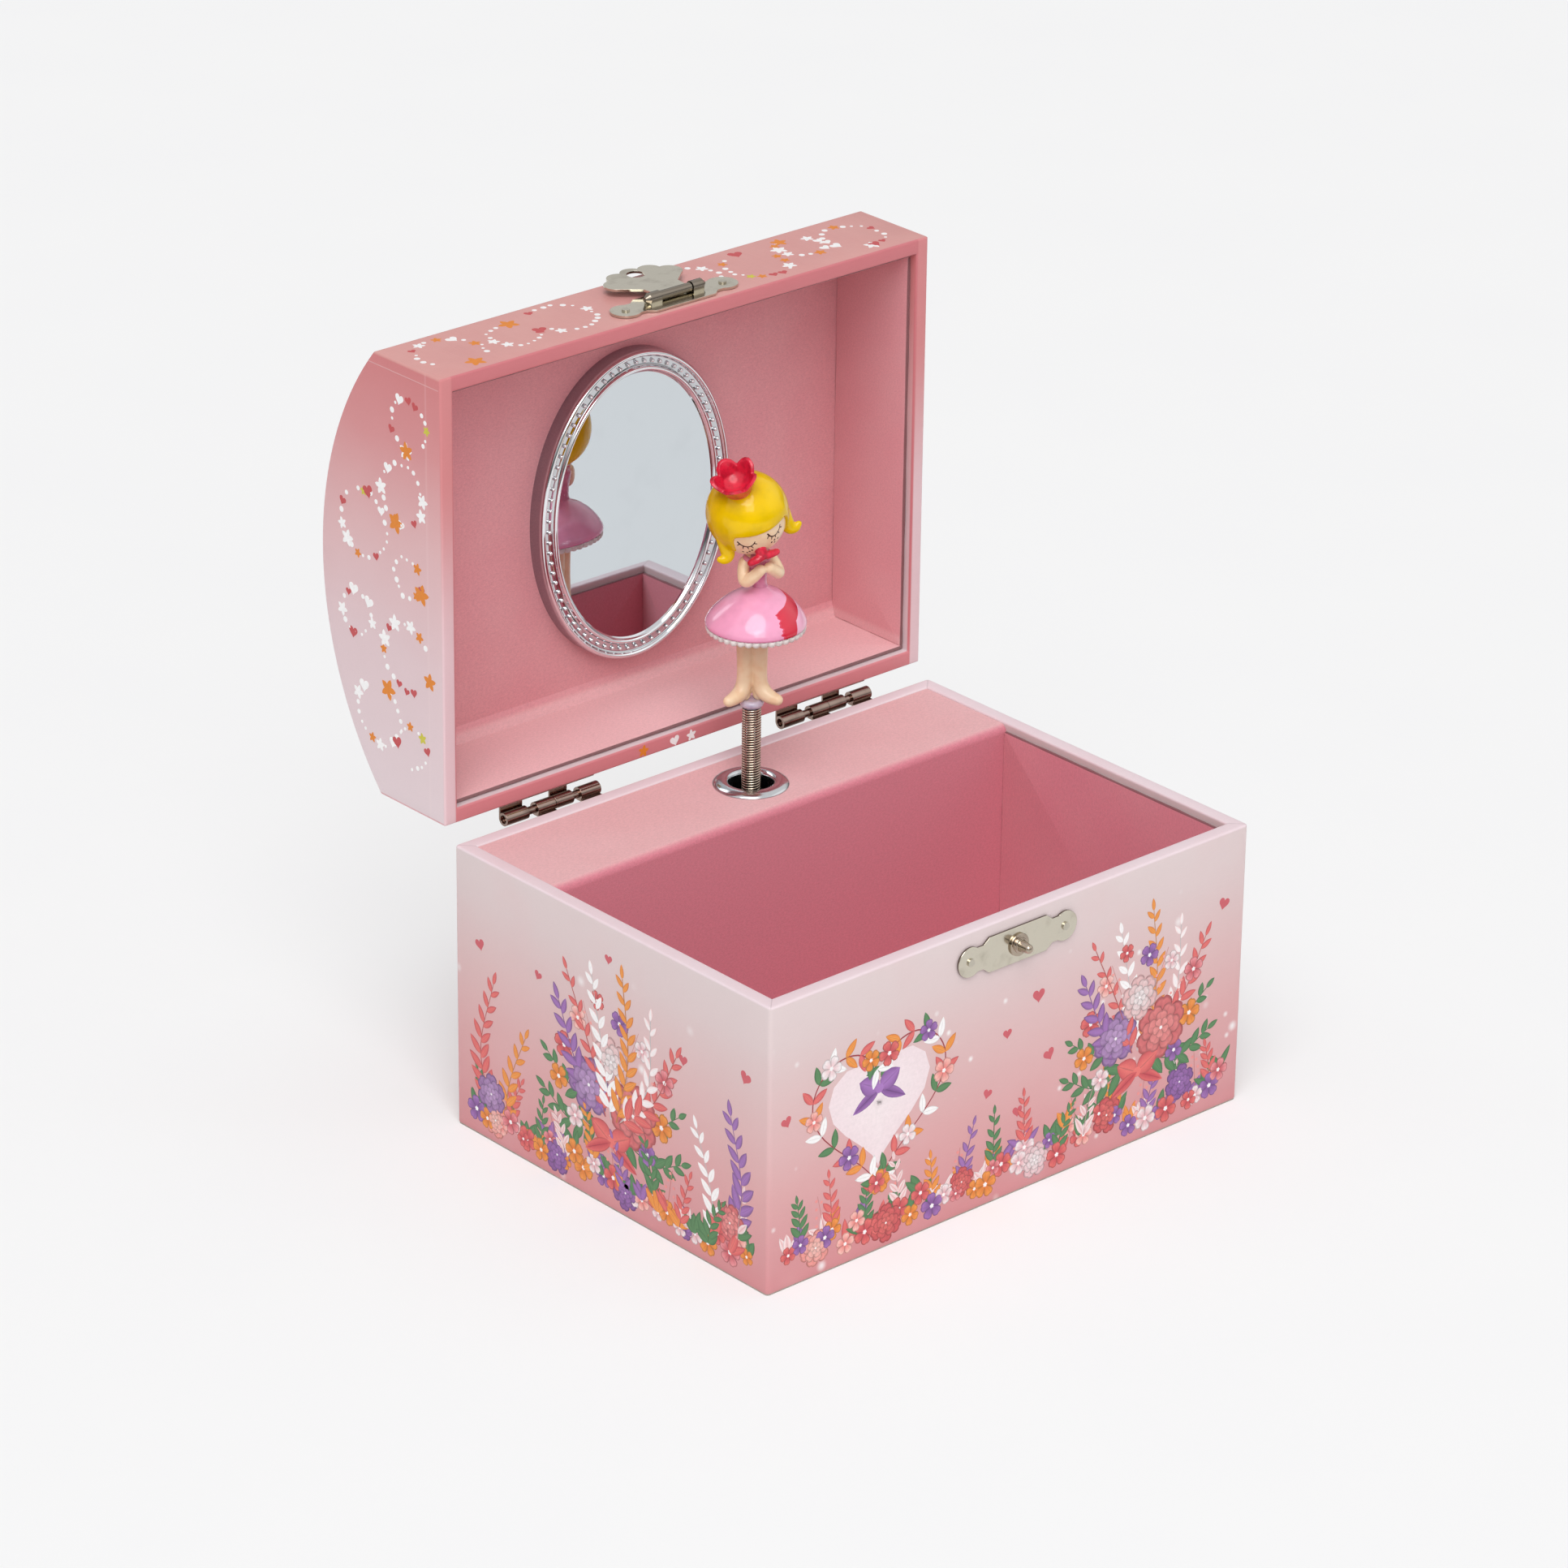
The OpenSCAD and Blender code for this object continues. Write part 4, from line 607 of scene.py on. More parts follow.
def metal_paint(name, colour, rough, spread, grain=(1, 1, 1), tarnish=None, wear=0.3,
                painted_dark=None):
    """Plated or polished metal: fine scratches along one direction, a little tarnish, and a roughness that
    changes from place to place. The last setting is a dark colour and a function that gives its share from
    the paint's place: painted shade and dark reflections laid over the metal."""
    paint = Paint(name)
    scratch = paint.noise(0.35, 3.0, paint.stretched(*grain), 0.65)
    stain = paint.noise(4.5, 3.0)
    tone = paint.mix(stain.rise(0.5, 0.8) * wear, colour,
                     tarnish or dimmed(colour, 0.62))
    # Painted shade and dark reflections, laid over the metal where the function says
    if painted_dark:
        tone = paint.mix(painted_dark[1](paint), tone, painted_dark[0])
    tone = paint.shaded(tone, scratch, 0.96, 1.04)
    gloss = (scratch * spread + stain * spread * 0.6 + (rough - spread * 0.6)).clamped()
    return paint.skin(tone, gloss, scratch, 0.0015, Metallic=1.0)


def nickel_paint(name, painted_dark):
    """Pale brushed nickel, with painted shade and dark reflections where the function says."""
    return metal_paint(name, CHAMPAGNE, 0.13, 0.05, (0.25, 1, 1.6), rgb(132, 120, 102), 0.4,
                       (rgb(84, 68, 58), painted_dark))


def resin_paint(name, colour, deep, rough, coat=0.6, size=2.4, spec=0.3, gloss=0.08):
    """Glossy painted resin: the colour pools a little deeper in places, and the lacquer is
    not quite even."""
    paint = Paint(name)
    pool = paint.noise(size, 3.0)
    tone = paint.mix(pool.rise(0.35, 0.75), colour, deep)
    return paint.skin(tone, paint.noise(1.2) * 0.08 + rough, pool, 0.03, Coat_Weight=coat,
                      Coat_Roughness=gloss, Specular_IOR_Level=spec)


def board_paint():
    """Grey board: flecks of fibre in a warm grey, rough and slightly fuzzy."""
    paint = Paint("greyboard")
    fleck = paint.noise(0.5, 4.0, None, 0.75)
    layer = paint.noise(0.5, 2.0, paint.stretched(0.1, 0.1, 1.0))
    tone = paint.mix(fleck.rise(0.3, 0.7), rgb(176, 168, 158), rgb(148, 140, 130))
    tone = paint.shaded(tone, layer, 0.9, 1.1)
    return paint.skin(tone, fleck * 0.1 + 0.85, fleck, 0.06)


def plastic_paint(name, colour, deep, rough):
    """Moulded plastic or foam: a fine pebbled skin with slow mottling."""
    paint = Paint(name)
    pebble = paint.noise(0.5, 3.0)
    tone = paint.mix(paint.noise(6.0).rise(0.3, 0.7), colour, deep)
    return paint.skin(tone, pebble * 0.15 + rough, pebble, 0.04)


def mirror_paint():
    """Silvered plastic: a faint bloom of haze, and a sheet that lies a little askew in its
    ring, as an even slope of the bump."""
    paint = Paint("mirror_glass")
    haze = paint.noise(9.0, 3.0)
    tone = paint.mix(haze.rise(0.5, 0.8) * 0.5, rgb(212, 218, 222), rgb(206, 212, 216))
    tilt = paint.x * 0.112 - paint.z * 0.08 + haze * 0.002
    return paint.skin(tone, haze.rise(0.55, 0.9) * 0.03 + 0.015, tilt, 1.0, Metallic=1.0)


# ---- Papers ----


def base_skin(depth):
    """Rows of the base's paper at a depth below its surface: up the inside, over the rim with
    two rounded edges, down the outside and round the bottom edge."""
    out = SKIN + depth
    rows = np.concatenate([
        [[WALL - depth, RIM_Z - TURN_IN], [WALL - depth, RIM_Z - 1.2]],
        arc((WALL - FOLD_IN, RIM_Z - FOLD_IN), FOLD_IN - depth, 0, 90, 5),
        arc((SKIN + BASE_FOLD, RIM_Z - BASE_FOLD), BASE_FOLD - depth, 90, 180, 6),
        [[out, h] for h in (55, 35, 15)],
        arc((SKIN + 0.5, BASE_LOW[2] + 0.5), 0.5 - depth, 180, 245, 4),
    ])
    radius = np.maximum(BASE_CORNER - rows[:, 0], 0.25)
    x, y = ringed(round_path(12, 10, 5), HALF, rows[:, 0], radius)
    return np.stack([x, y, np.broadcast_to(rows[:, 1:], x.shape)], -1)


def lid_place(points):
    """Carries points of the shut lid to where the open lid is: a quarter turn about the
    hinge axis."""
    x, y, z = np.moveaxis(points, -1, 0)
    return np.stack([x, LID_LOW[1] + z, LID_HIGH[2] - HALF[1] - y], -1)


LID_WALL = 25.0
VAULT_TOP = LID_HIGH[1] - LID_LOW[1]
VAULT_R = (HALF[1] ** 2 + (VAULT_TOP - LID_WALL) ** 2) / (2 * (VAULT_TOP - LID_WALL))
VAULT_EDGE = 0.4


def vault(y, lower):
    """Height of the vault above the rim at depth y: a circle's arc, lowered by a measure
    along its radius."""
    return VAULT_TOP - VAULT_R + np.sqrt(np.maximum((VAULT_R - lower) ** 2 - y**2, 0))


def lid_skin(depth):
    """Rows of the lid's paper at a depth below its surface, for the shut lid with its rim at
    height 0: up the inside, over the rim, up the walls, up the ends to the vault's edge, round
    that edge, and in over the vault to its middle line."""
    out = SKIN + depth
    path = round_path(10, 44, 4)
    wall = np.concatenate([
        [[WALL - depth, TURN_IN], [WALL - depth, 1.2]],
        arc((WALL - FOLD_IN, FOLD_IN), FOLD_IN - depth, 0, -90, 5),
        arc((SKIN + LID_FOLD, LID_FOLD), LID_FOLD - depth, 270, 180, 6),
        [[out, 8.0], [out, 16.0]],
    ])
    x, y = ringed(path, HALF, wall[:, 0], np.maximum(LID_CORNER - wall[:, 0], 0.2))
    z = np.broadcast_to(wall[:, 1:], x.shape)
    climb = np.linspace(0, 1, 7)[:, None]
    cx, cy = ringed(path, HALF, np.full(7, out), np.full(7, LID_CORNER - out))
    foot = vault(HALF[1] - out, VAULT_EDGE + out) - 0.01
    cz = foot + climb * (vault(cy, VAULT_EDGE + out) - foot)
    turn = np.radians(np.linspace(15, 90, 6))
    inset = out + VAULT_EDGE * (1 - np.cos(turn))
    ex, ey = ringed(path, HALF, inset, np.maximum(LID_CORNER - inset, 0.15))
    ez = vault(ey, (VAULT_EDGE * (1 - np.sin(turn)) + out)[:, None])
    share = np.linspace(0, 1, 26)[1:]
    inset = inset[-1] + share * (HALF[1] - inset[-1])
    vx, vy = ringed(path, HALF, inset, np.full(len(inset), 0.15))
    vz = vault(vy, out + 0 * vy)
    return lid_place(np.stack([np.concatenate([x, cx, ex, vx]), np.concatenate([y, cy, ey, vy]),
                               np.concatenate([z, cz, ez, vz])], -1))


def wrapped(name, skin, body, slot, paint, node, both_ends):
    """A sheet of paper as a closed shell: its outer rows, its inner rows one thickness
    deeper, and strips that join their ends."""
    shape = Shape()
    outer, inner = skin(0.0), skin(PAPER)
    for rows in (outer, inner):
        shape.grid(rows, columns=True)
    shape.grid(np.stack([outer[0], inner[0]]), columns=True)
    if both_ends:
        shape.grid(np.stack([outer[-1], inner[-1]]), columns=True)
    return shape.build(name, body, slot, paint, node, sharp=38)


# ---- Printed motifs ----

LIFT, STEP, SINK = 0.02, 0.0003, 0.03  # Of a motif over the paper, the last one and below


def flat(origin, right, up, out):
    """A way to place print on a flat face: a runs right, b up and h out of it."""
    origin, right, up, out = (np.array(v, float) for v in (origin, right, up, out))
    return lambda *abh: origin + sum(v[..., None] * w for v, w in zip(abh, (right, up, out)))


X, Y, Z = np.eye(3)
FACES = {
    "front": flat((0, SKIN - HALF[1], 0), X, Z, -Y),
    "left": flat((SKIN - HALF[0], 0, 0), -Y, Z, -X),
    "right": flat((HALF[0] - SKIN, 0, 0), Y, Z, X),
    "back": flat((0, HALF[1] - SKIN, 0), -X, Z, Y),
    "lid_left": flat((SKIN - HALF[0], LID_LOW[1], 0), Y, Z, -X),
    "lid_right": flat((HALF[0] - SKIN, LID_LOW[1], 0), Y, Z, X),
    "lid_front": flat((0, LID_LOW[1], LID_HIGH[2] - SKIN), X, Y, Z),
    "lid_back": flat((0, LID_LOW[1], LID_LOW[2] + SKIN), X, Y, -Z),
    "lid_rim": flat((0, LID_LOW[1], 0), X, Z, -Y),
}


def lid_vault(a, b, h):
    """Places print on the vault: a runs along it, and b round its arc, from its middle."""
    angle = b / VAULT_R
    radius = VAULT_R - SKIN + h
    return lid_place(np.stack([a, radius * np.sin(angle),
                               VAULT_TOP - VAULT_R + radius * np.cos(angle)], -1))


def heart_curve(t, size):
    """A heart's outline: across it is the sine cubed; up it is the known sum of four
    cosines."""
    up = 13 * np.cos(t) - 5 * np.cos(2 * t) - 2 * np.cos(3 * t) - np.cos(4 * t)
    return size * np.sin(t) ** 3, size * up / 16


class Print:
    """Motifs printed on one face as thin closed films."""

    def __init__(self, shape, place, seed=1):
        self.shape, self.place, self.layer, self.count = shape, place, 0.0, seed

    def at(self, centre=(0, 0), scale=1.0):
        """The same face with its origin moved and its lengths scaled."""
        def place(a, b, h):
            return self.place(centre[0] + scale * a, centre[1] + scale * b, h)
        return Print(self.shape, place, int(abs(7 * centre[0]) + abs(5 * centre[1])))

    def rise(self):
        """Height of the next motif: each lies a little over the one before it."""
        self.count += 1
        return LIFT + self.layer + STEP * (self.count % 220)

    def film(self, a, b, tint):
        """A grid on the face, closed below: its last row goes down and back to its first."""
        high = np.full(a.shape, self.rise())
        high[-1] -= 0.01
        low_a, low_b = np.stack([a[-1], a[0]]), np.stack([b[-1], b[0]])
        points = self.place(np.concatenate([a, low_a]), np.concatenate([b, low_b]),
                            np.concatenate([high, np.full(low_a.shape, -SINK)]))
        tint = np.broadcast_to(tint, a.shape + (3,))
        self.shape.grid(points, columns=True,
                        tint=np.concatenate([tint, tint[-1:], tint[:1]]))

    def lobed(self, centre, angle, share, reach, tint):
        """A polar film: each point lies a share of the outline's reach from the centre, in
        the direction of its angle. reach is a grid, or a row for all shares."""
        turn = full_turn(reach.shape[-1]) + radians(angle)
        radius = np.asarray(share)[:, None] * reach
        self.film(centre[0] + radius * np.cos(turn), centre[1] + radius * np.sin(turn), tint)

    def dot(self, centre, radius, tint):
        self.lobed(centre, 0, [0, 1], np.full(12, radius), tint)

    def star(self, centre, radius, tint, tilt):
        """Five points: the reach runs in straight steps between its tips and its notches."""
        share = np.abs((np.arange(30) / 3) % 2 - 1)
        self.lobed(centre, 90 + tilt + 36, [0, 1], radius * (1 - 0.52 * share), tint)

    def heart(self, centre, radius, tint, angle=0):
        across, up = heart_curve(full_turn(24), radius)
        c, s = cos(radians(angle)), sin(radians(angle))
        rows = np.array([0.0, 1.0])[:, None]
        self.film(centre[0] + rows * (across * c - up * s),
                  centre[1] + rows * (across * s + up * c), tint)

    def blossom(self, centre, radius, angle, tones, petals=5, depth=0.42):
        """Petals: the reach swells with the cosine of half the petals' angle. The colour runs
        from the inner to the outer one, with dark seams, a fine outline and veins."""
        inner, outer = tones
        phase = np.linspace(0, petals * pi, 10 * petals, endpoint=False)
        swell = np.abs(np.cos(phase)) ** 0.5
        notch = 0.07 * np.exp(-((np.sin(phase) / 0.22) ** 2)) * (np.abs(np.cos(phase)) > 0.7)
        reach = radius * (1 - depth + depth * swell - notch)
        share = np.array([0, 0.16, 0.2, 0.34, 0.52, 0.72, 0.88, 0.95, 1.0])
        tint = blend(np.broadcast_to(share[:, None] ** 1.3, (9, len(phase))), inner, outer)
        seam = (1 - swell)[None] ** 1.2 * 0.75 * (share[:, None] > 0.2)
        vein = 0.16 * (np.sin(6 * phase) > 0.6)[None] * ((share > 0.3) & (share < 0.9))[:, None]
        rim = (share[:, None] > 0.94) * 0.55
        tint = blend_each(np.clip(seam + vein + rim, 0, 0.9), tint, dimmed(inner, 0.42))
        tint[:2] = WHITE
        self.lobed(centre, angle, share, reach, tint)

    def rosette(self, centre, radius, angle, tones):
        """A full bloom: four rings of petals, each smaller, higher and turned half a petal."""
        for ring, scale in enumerate((1.0, 0.78, 0.55, 0.33)):
            self.layer = 0.01 * (ring + 1)
            tone = blend(0.25 * ring, *tones)
            self.blossom(centre, radius * scale, angle + 31 * ring,
                         (0.8 * tone, blend(0.45, tone, tones[1])), 6 - (ring > 1), 0.3)
        self.layer = 0

    def leaf(self, base, angle, length, width, tones, vein=None):
        """A pointed leaf: half its width is the sine of its length's share, and its colour
        runs from the midrib to the edge, with a fine outline."""
        u = np.linspace(0, 1, 8)[:, None]
        v = np.array([-1, -0.8, -0.1, 0, 0.1, 0.8, 1])
        half = width / 2 * np.sin(pi * u**0.85) ** 0.8
        c, s = cos(radians(angle)), sin(radians(angle))
        a = base[0] + u * length * c - v * half * s
        b = base[1] + u * length * s + v * half * c
        tint = blend(np.broadcast_to(np.abs(v), a.shape) * (0.5 + 0.5 * u), *tones)
        line = np.broadcast_to((np.abs(v) > 0.95) | (v == 0), a.shape) * 0.6
        tint = blend_each(line, tint, vein or dimmed(tones[0], 0.45))
        self.ribbon(a, b, tint)

    def ribbon(self, a, b, tint):
        """A film whose two long edges close below it."""
        high = np.full(a.shape, self.rise())
        low = np.full((a.shape[0], 2), -SINK)
        a, b, tint = (np.concatenate([v, v[:, -1:], v[:, :1]], 1) for v in (a, b, tint))
        ends = np.concatenate([high, low], 1)
        a, b = (np.concatenate([[x[0] * 0 + x[0].mean()], x, [x[-1] * 0 + x[-1].mean()]])
                for x in (a, b))
        ends = np.concatenate([[ends[0] * 0 - SINK], ends, [ends[-1] * 0 - SINK]])
        tint = np.concatenate([tint[:1], tint, tint[-1:]])
        self.shape.grid(self.place(a, b, ends), columns=True, tint=tint)

    def line(self, points, width, tint, count):
        """A drawn line: a smooth path whose width tapers to its end."""
        path = smooth_path(points, count)
        ahead = np.gradient(path, axis=0)
        ahead /= np.linalg.norm(ahead, axis=1, keepdims=True)
        side = np.stack([-ahead[:, 1], ahead[:, 0]], 1) * width / 2
        side *= np.linspace(1, 0.55, count)[:, None]
        v = np.array([-1.0, 1.0])
        a = path[:, :1] + v * side[:, :1]
        b = path[:, 1:] + v * side[:, 1:]
        self.ribbon(a, b, np.broadcast_to(tint, a.shape + (3,)))
        return path, np.degrees(np.arctan2(ahead[:, 1], ahead[:, 0]))

    def sprig(self, points, pairs, length, width, tones, vein=None):
        """A bending stem with leaves on both sides, smaller towards its tip."""
        count = 4 * pairs + 2
        path, heading = self.line(points, 0.32, dimmed(tones[0], 0.55), count)
        self.layer = 0.006
        for k in range(pairs):
            at = int((k + 0.7) * (count - 2) / pairs)
            size = 1.05 - 0.5 * k / pairs
            for side in (-1, 1):
                self.leaf(path[min(at + (side > 0), count - 1)], heading[at] + side * 38,
                          length * size, width * size, tones, vein)
        self.leaf(path[-1], heading[-1], length * 0.6, width * 0.55, tones, vein)
        self.layer = 0

    def berries(self, base, angle, length, tint):
        """A panicle: a stem with small round buds beside it, on short stalks."""
        c, s = cos(radians(angle)), sin(radians(angle))
        tip = (base[0] + length * c, base[1] + length * s)
        self.line([base, tip], 0.2, dimmed(tint, 0.7), 4)
        self.layer = 0.01
        for k in range(7):
            share, out = 0.3 + 0.1 * k, (1.9 - 0.22 * k) * (1, -1)[k % 2]
            along = length * share
            self.dot((base[0] + along * c - out * s, base[1] + along * s + out * c), 0.42, tint)
        self.layer = 0

    def bow(self, centre, size, tones):
        """Two loops, two tails and a knot."""
        for side in (-1, 1):
            self.leaf(centre, 90 - side * 118, size * 1.5, size * 0.5, tones)
            self.layer = 0.01
            self.leaf(centre, 90 - side * 62, size * 1.15, size * 0.85, tones[::-1])
            self.layer = 0
        self.layer = 0.02
        self.lobed(centre, 0, [0, 0.7, 1], np.full(14, size * 0.2), tones[1])
        self.layer = 0


def blend_each(share, start, end):
    """Mixes a grid of colours with one colour, by a grid of shares."""
    share = np.asarray(share, float)[..., None]
    return start * (1 - share) + np.asarray(end) * share


def heart_wreath(ink):
    """Leaves and small blossoms set round a heart's outline."""
    size = 21
    across, up = heart_curve(np.linspace(0.35, 2 * pi - 0.35, 30), size)
    points = np.stack([across, up], 1)
    for share, tint in ((0.76, rgb(240, 222, 226)), (0.64, rgb(232, 190, 200)),
                        (0.56, rgb(243, 230, 232))):
        ink.heart((0, 0.5), size * share, tint)
    ink.bow((0, size * 0.2), size * 0.3, VIOLET_BLOOM)
    for part in (points[:15], points[:14:-1]):
        ink.line(part, 0.4, dimmed(CRIMSON, 0.6), 40)
    heading = np.degrees(np.arctan2(np.gradient(up), np.gradient(across)))
    leaves = (GREEN_LEAF, CORAL_LEAF, AMBER_LEAF, WHITE_LEAF)
    for k in range(30):
        way = heading[k] + (180 if k < 15 else 0)
        for side in (-1, 1):
            ink.leaf(points[k], way + side * 48, 5.2, 2.1, leaves[(k * 7) % 4])
    blooms = (RED_BLOOM, VIOLET_BLOOM, (CORAL_PINK, rgb(250, 200, 190)),
              (rgb(236, 196, 200), WHITE), ORANGE_BLOOM)
    ink.layer = 0.02
    for k in range(1, 30, 3):
        ink.blossom(points[k], 2.9 + 0.5 * (k % 2), 40 * k, blooms[(k // 3) % 5])
    ink.layer = 0


def bouquet(ink):
    """Sprigs fanned out behind three full blooms, with leaves, small blossoms and a bow."""
    for points, pairs, length, width, tones in (
        ([(-2, 0), (-12, 9), (-19, 24)], 7, 7.4, 3.1, LILAC_LEAF),
        ([(-2, 0), (-7, 14), (-16, 33)], 7, 5.4, 2.2, CORAL_LEAF),
        ([(0, 0), (-3, 16), (-7, 35)], 8, 6.0, 2.5, WHITE_LEAF),
        ([(2, 0), (6, 18), (4, 38)], 9, 6.0, 2.3, AMBER_LEAF),
        ([(3, 0), (13, 13), (14, 31)], 7, 5.6, 2.2, (WHITE, rgb(244, 210, 210))),
        ([(3, 0), (15, 10), (23, 25)], 7, 6.8, 2.6, CORAL_LEAF),
        ([(3, -3), (15, -6), (25, -2)], 5, 6.6, 3.0, GREEN_LEAF),
        ([(-3, -3), (-14, -6), (-24, -1)], 5, 6.6, 3.0, GREEN_LEAF),
        ([(-3, 2), (-14, 3), (-23, 9)], 4, 5.8, 2.8, GREEN_LEAF),
        ([(3, 2), (14, 3), (24, 10)], 4, 5.8, 2.8, GREEN_LEAF),
    ):
        ink.sprig(points, pairs, length, width, tones, PALE_VEIN if tones[0] == WHITE else None)
    for angle, length in ((68, 26), (112, 27), (40, 22)):
        ink.berries((0, 2), angle, length, rgb(236, 162, 156))
    ink.layer = 0.01
    for dx, dy, radius, tones in (
        (-17, 13, 3.7, RED_BLOOM), (18, 5, 3.9, ORANGE_BLOOM), (3, 26, 3.3, VIOLET_BLOOM),
        (19, 17, 3.5, PINK_BLOOM), (-12, 22, 3.2, (CORAL_PINK, rgb(248, 214, 206))),
        (-19, 4, 3.4, ORANGE_BLOOM), (11, 22, 2.8, ROSE_BLOOM), (-5, 29, 2.6, RED_BLOOM),
        (13, -4, 3.2, VIOLET_BLOOM), (-13, -4, 3.2, ROSE_BLOOM),
    ):
        ink.blossom((dx, dy), radius, 20 * dx, tones)
    ink.rosette((-8, 6), 7.8, 10, FULL_VIOLET)
    ink.rosette((8, 4), 9.0, 25, FULL_RED)
    ink.rosette((0, 15), 6.6, 40, PALE_BLOOM)
    ink.layer = 0.045
    ink.bow((0, -6), 7.0, RED_BLOOM)
    ink.layer = 0


def garland(ink, start, end, sag, seed):
    """A hanging row of blossoms and leaves between two points, along a parabola."""
    rng = np.random.default_rng(seed)
    count = int(abs(end[0] - start[0]) / 4.4)
    t = np.linspace(0, 1, count)
    a = start[0] + (end[0] - start[0]) * t
    b = start[1] + (end[1] - start[1]) * t - sag * 4 * t * (1 - t)
    blooms = (RED_BLOOM, (rgb(240, 190, 196), WHITE), VIOLET_BLOOM, CORAL_BLOOM, ORANGE_BLOOM)
    for k in range(count):
        for turn in (-150, -40, 30, 140):
            ink.leaf((a[k], b[k]), turn + rng.uniform(-20, 20), rng.uniform(3.8, 5.4), 2.0,
                     (GREEN_LEAF, CORAL_LEAF)[k % 2])
    ink.layer = 0.02
    for k in range(count):
        tones = blooms[rng.integers(5)]
        ink.blossom((a[k], b[k]), rng.uniform(2.2, 3.5), rng.uniform(0, 72), tones)
    ink.layer = 0


def meadow(ink, start, end, height, seed):
    """A bank of blossoms and leaves along the foot of a face: leaves lean up and outwards,
    taller stems stand between, and the blossoms lie over them."""
    rng = np.random.default_rng(seed)
    count = int((end - start) / 3.3)
    spots = np.stack([np.linspace(start, end, count) + rng.uniform(-1.2, 1.2, count),
                      5.4 + height * rng.random(count) ** 2], 1)
    leaves = (GREEN_LEAF, CORAL_LEAF, GREEN_LEAF, (rgb(238, 190, 190), WHITE), AMBER_LEAF,
              LILAC_LEAF)
    for k, (a, b) in enumerate(spots):
        tones = leaves[rng.integers(6)]
        for turn in rng.uniform(25, 155, 3):
            ink.leaf((a, b), turn, rng.uniform(4.4, 7.0), rng.uniform(1.9, 2.9), tones)
        if k % 3 == 1:
            lean = rng.uniform(-5, 5)
            ink.sprig([(a, b), (a + 0.3 * lean, b + 6), (a + lean, b + rng.uniform(11, 15))], 4,
                      4.4, 1.8, leaves[(k // 3) % 6])
        elif k % 6 == 3:
            ink.berries((a, b + 1), 90 + rng.uniform(-20, 20), 11, rgb(232, 150, 146))
    blooms = (RED_BLOOM, ROSE_BLOOM, VIOLET_BLOOM, CORAL_BLOOM, ORANGE_BLOOM, PINK_BLOOM)
    ink.layer = 0.02
    for k in rng.permutation(count):
        a, b = spots[k]
        tones = blooms[rng.integers(6)]
        if k % 7 == 2:
            ink.rosette((a, b + 1), rng.uniform(4.2, 5.4), rng.uniform(0, 60), tones)
            ink.layer = 0.02
        else:
            ink.blossom((a, b), rng.uniform(2.2, 3.9), rng.uniform(0, 72), tones)
    ink.layer = 0


def scattered(ink, spots, size):
    """Small red hearts in four sizes and three tilts."""
    for k, spot in enumerate(spots):
        ink.heart(spot, size * (0.8 + 0.1 * (k % 4)), HEART_RED, 20 * (k % 3) - 20)


def dotted_rings(ink, centres, seed):
    """Open rings of dots, hearts and stars. A ring is part of a circle; the next motif comes
    a random step further on, and its kind, size and tilt are random too. Here and there a
    larger star or heart lies beside a ring."""
    rng = np.random.default_rng(seed)
    red = rgb(196, 74, 78)
    for a, b, radius in centres:
        turn = rng.uniform(0, 2 * pi)
        end = turn + rng.uniform(4.2, 5.9)
        while turn < end:
            away = radius + rng.uniform(-0.5, 0.5)
            spot = (a + away * cos(turn), b + away * sin(turn))
            kind, tilt = rng.random(), rng.uniform(-25, 25)
            if kind < 0.1:
                size = rng.uniform(1.6, 2.4)
                ink.star(spot, size, WHITE, tilt)
            elif kind < 0.19:
                size = rng.uniform(1.3, 1.8)
                ink.heart(spot, size, WHITE, tilt)
            elif kind < 0.28:
                size = rng.uniform(1.0, 1.3)
                ink.heart(spot, size, red, tilt)
            elif kind < 0.34:
                size = rng.uniform(1.3, 1.7)
                ink.star(spot, size, (STAR_ORANGE, LIME)[rng.random() < 0.25], tilt)
            else:
                size = rng.choice([0.42, 0.62, 0.78])
                ink.dot(spot, size, WHITE)
            turn += (size + rng.uniform(1.3, 2.2)) / radius
        turn += rng.uniform(0.5, 1.0)
        away = radius + rng.uniform(-0.5, 1.5)
        spot = (a + away * cos(turn), b + away * sin(turn))
        if rng.random() < 0.6:
            ink.star(spot, rng.uniform(2.2, 2.9), STAR_ORANGE, rng.uniform(-25, 25))
        else:
            ink.heart(spot, rng.uniform(1.6, 2.0), red, rng.uniform(-25, 25))


# ---- The dancer ----


def spun(axis, angle):
    """Rotation by degrees about a named axis, as an array."""
    return np.array(Matrix.Rotation(radians(angle), 3, axis))


SPINDLE = (GROMMET_LOW + GROMMET_HIGH) / 2 * (1, 1, 0)
SOLES_Z, PEG_Z, BEAD_HIGH = 97.0, 90.5, 1.5
TURNED = -36  # Degrees that she stands turned from the box's front
LEG_H, WAIST_H, SKIRT_R, SKIRT_SHIFT = 20.2, 30.4, 12.4, 0.8
DANCER = (spun("Z", TURNED), SPINDLE + (0, 0, SOLES_Z))
TORSO = (spun("Z", 18) @ spun("Y", -7), np.array([1.7, 0, WAIST_H]))
HEAD = (spun("Y", -18), np.array([-1.6, 0, 49.8]))
BALL, BALL_R, HAIR_R = np.array([0, -0.4, -1.4]), 9.0, 10.1
COIL_R = (SPRING_HIGH[0] - SPRING_LOW[0]) / 2
COIL_TURNS, WIRE, COIL_END = 34, 0.26, 0.35
BLEND_LOW, BLEND_HIGH = 0.0765, 0.0915  # Metres: where the coil's bending starts and ends


def posed(points, *places):
    """Carries points through a row of places, each a rotation and a shift."""
    for turn, shift in places:
        points = points @ turn.T + shift
    return points


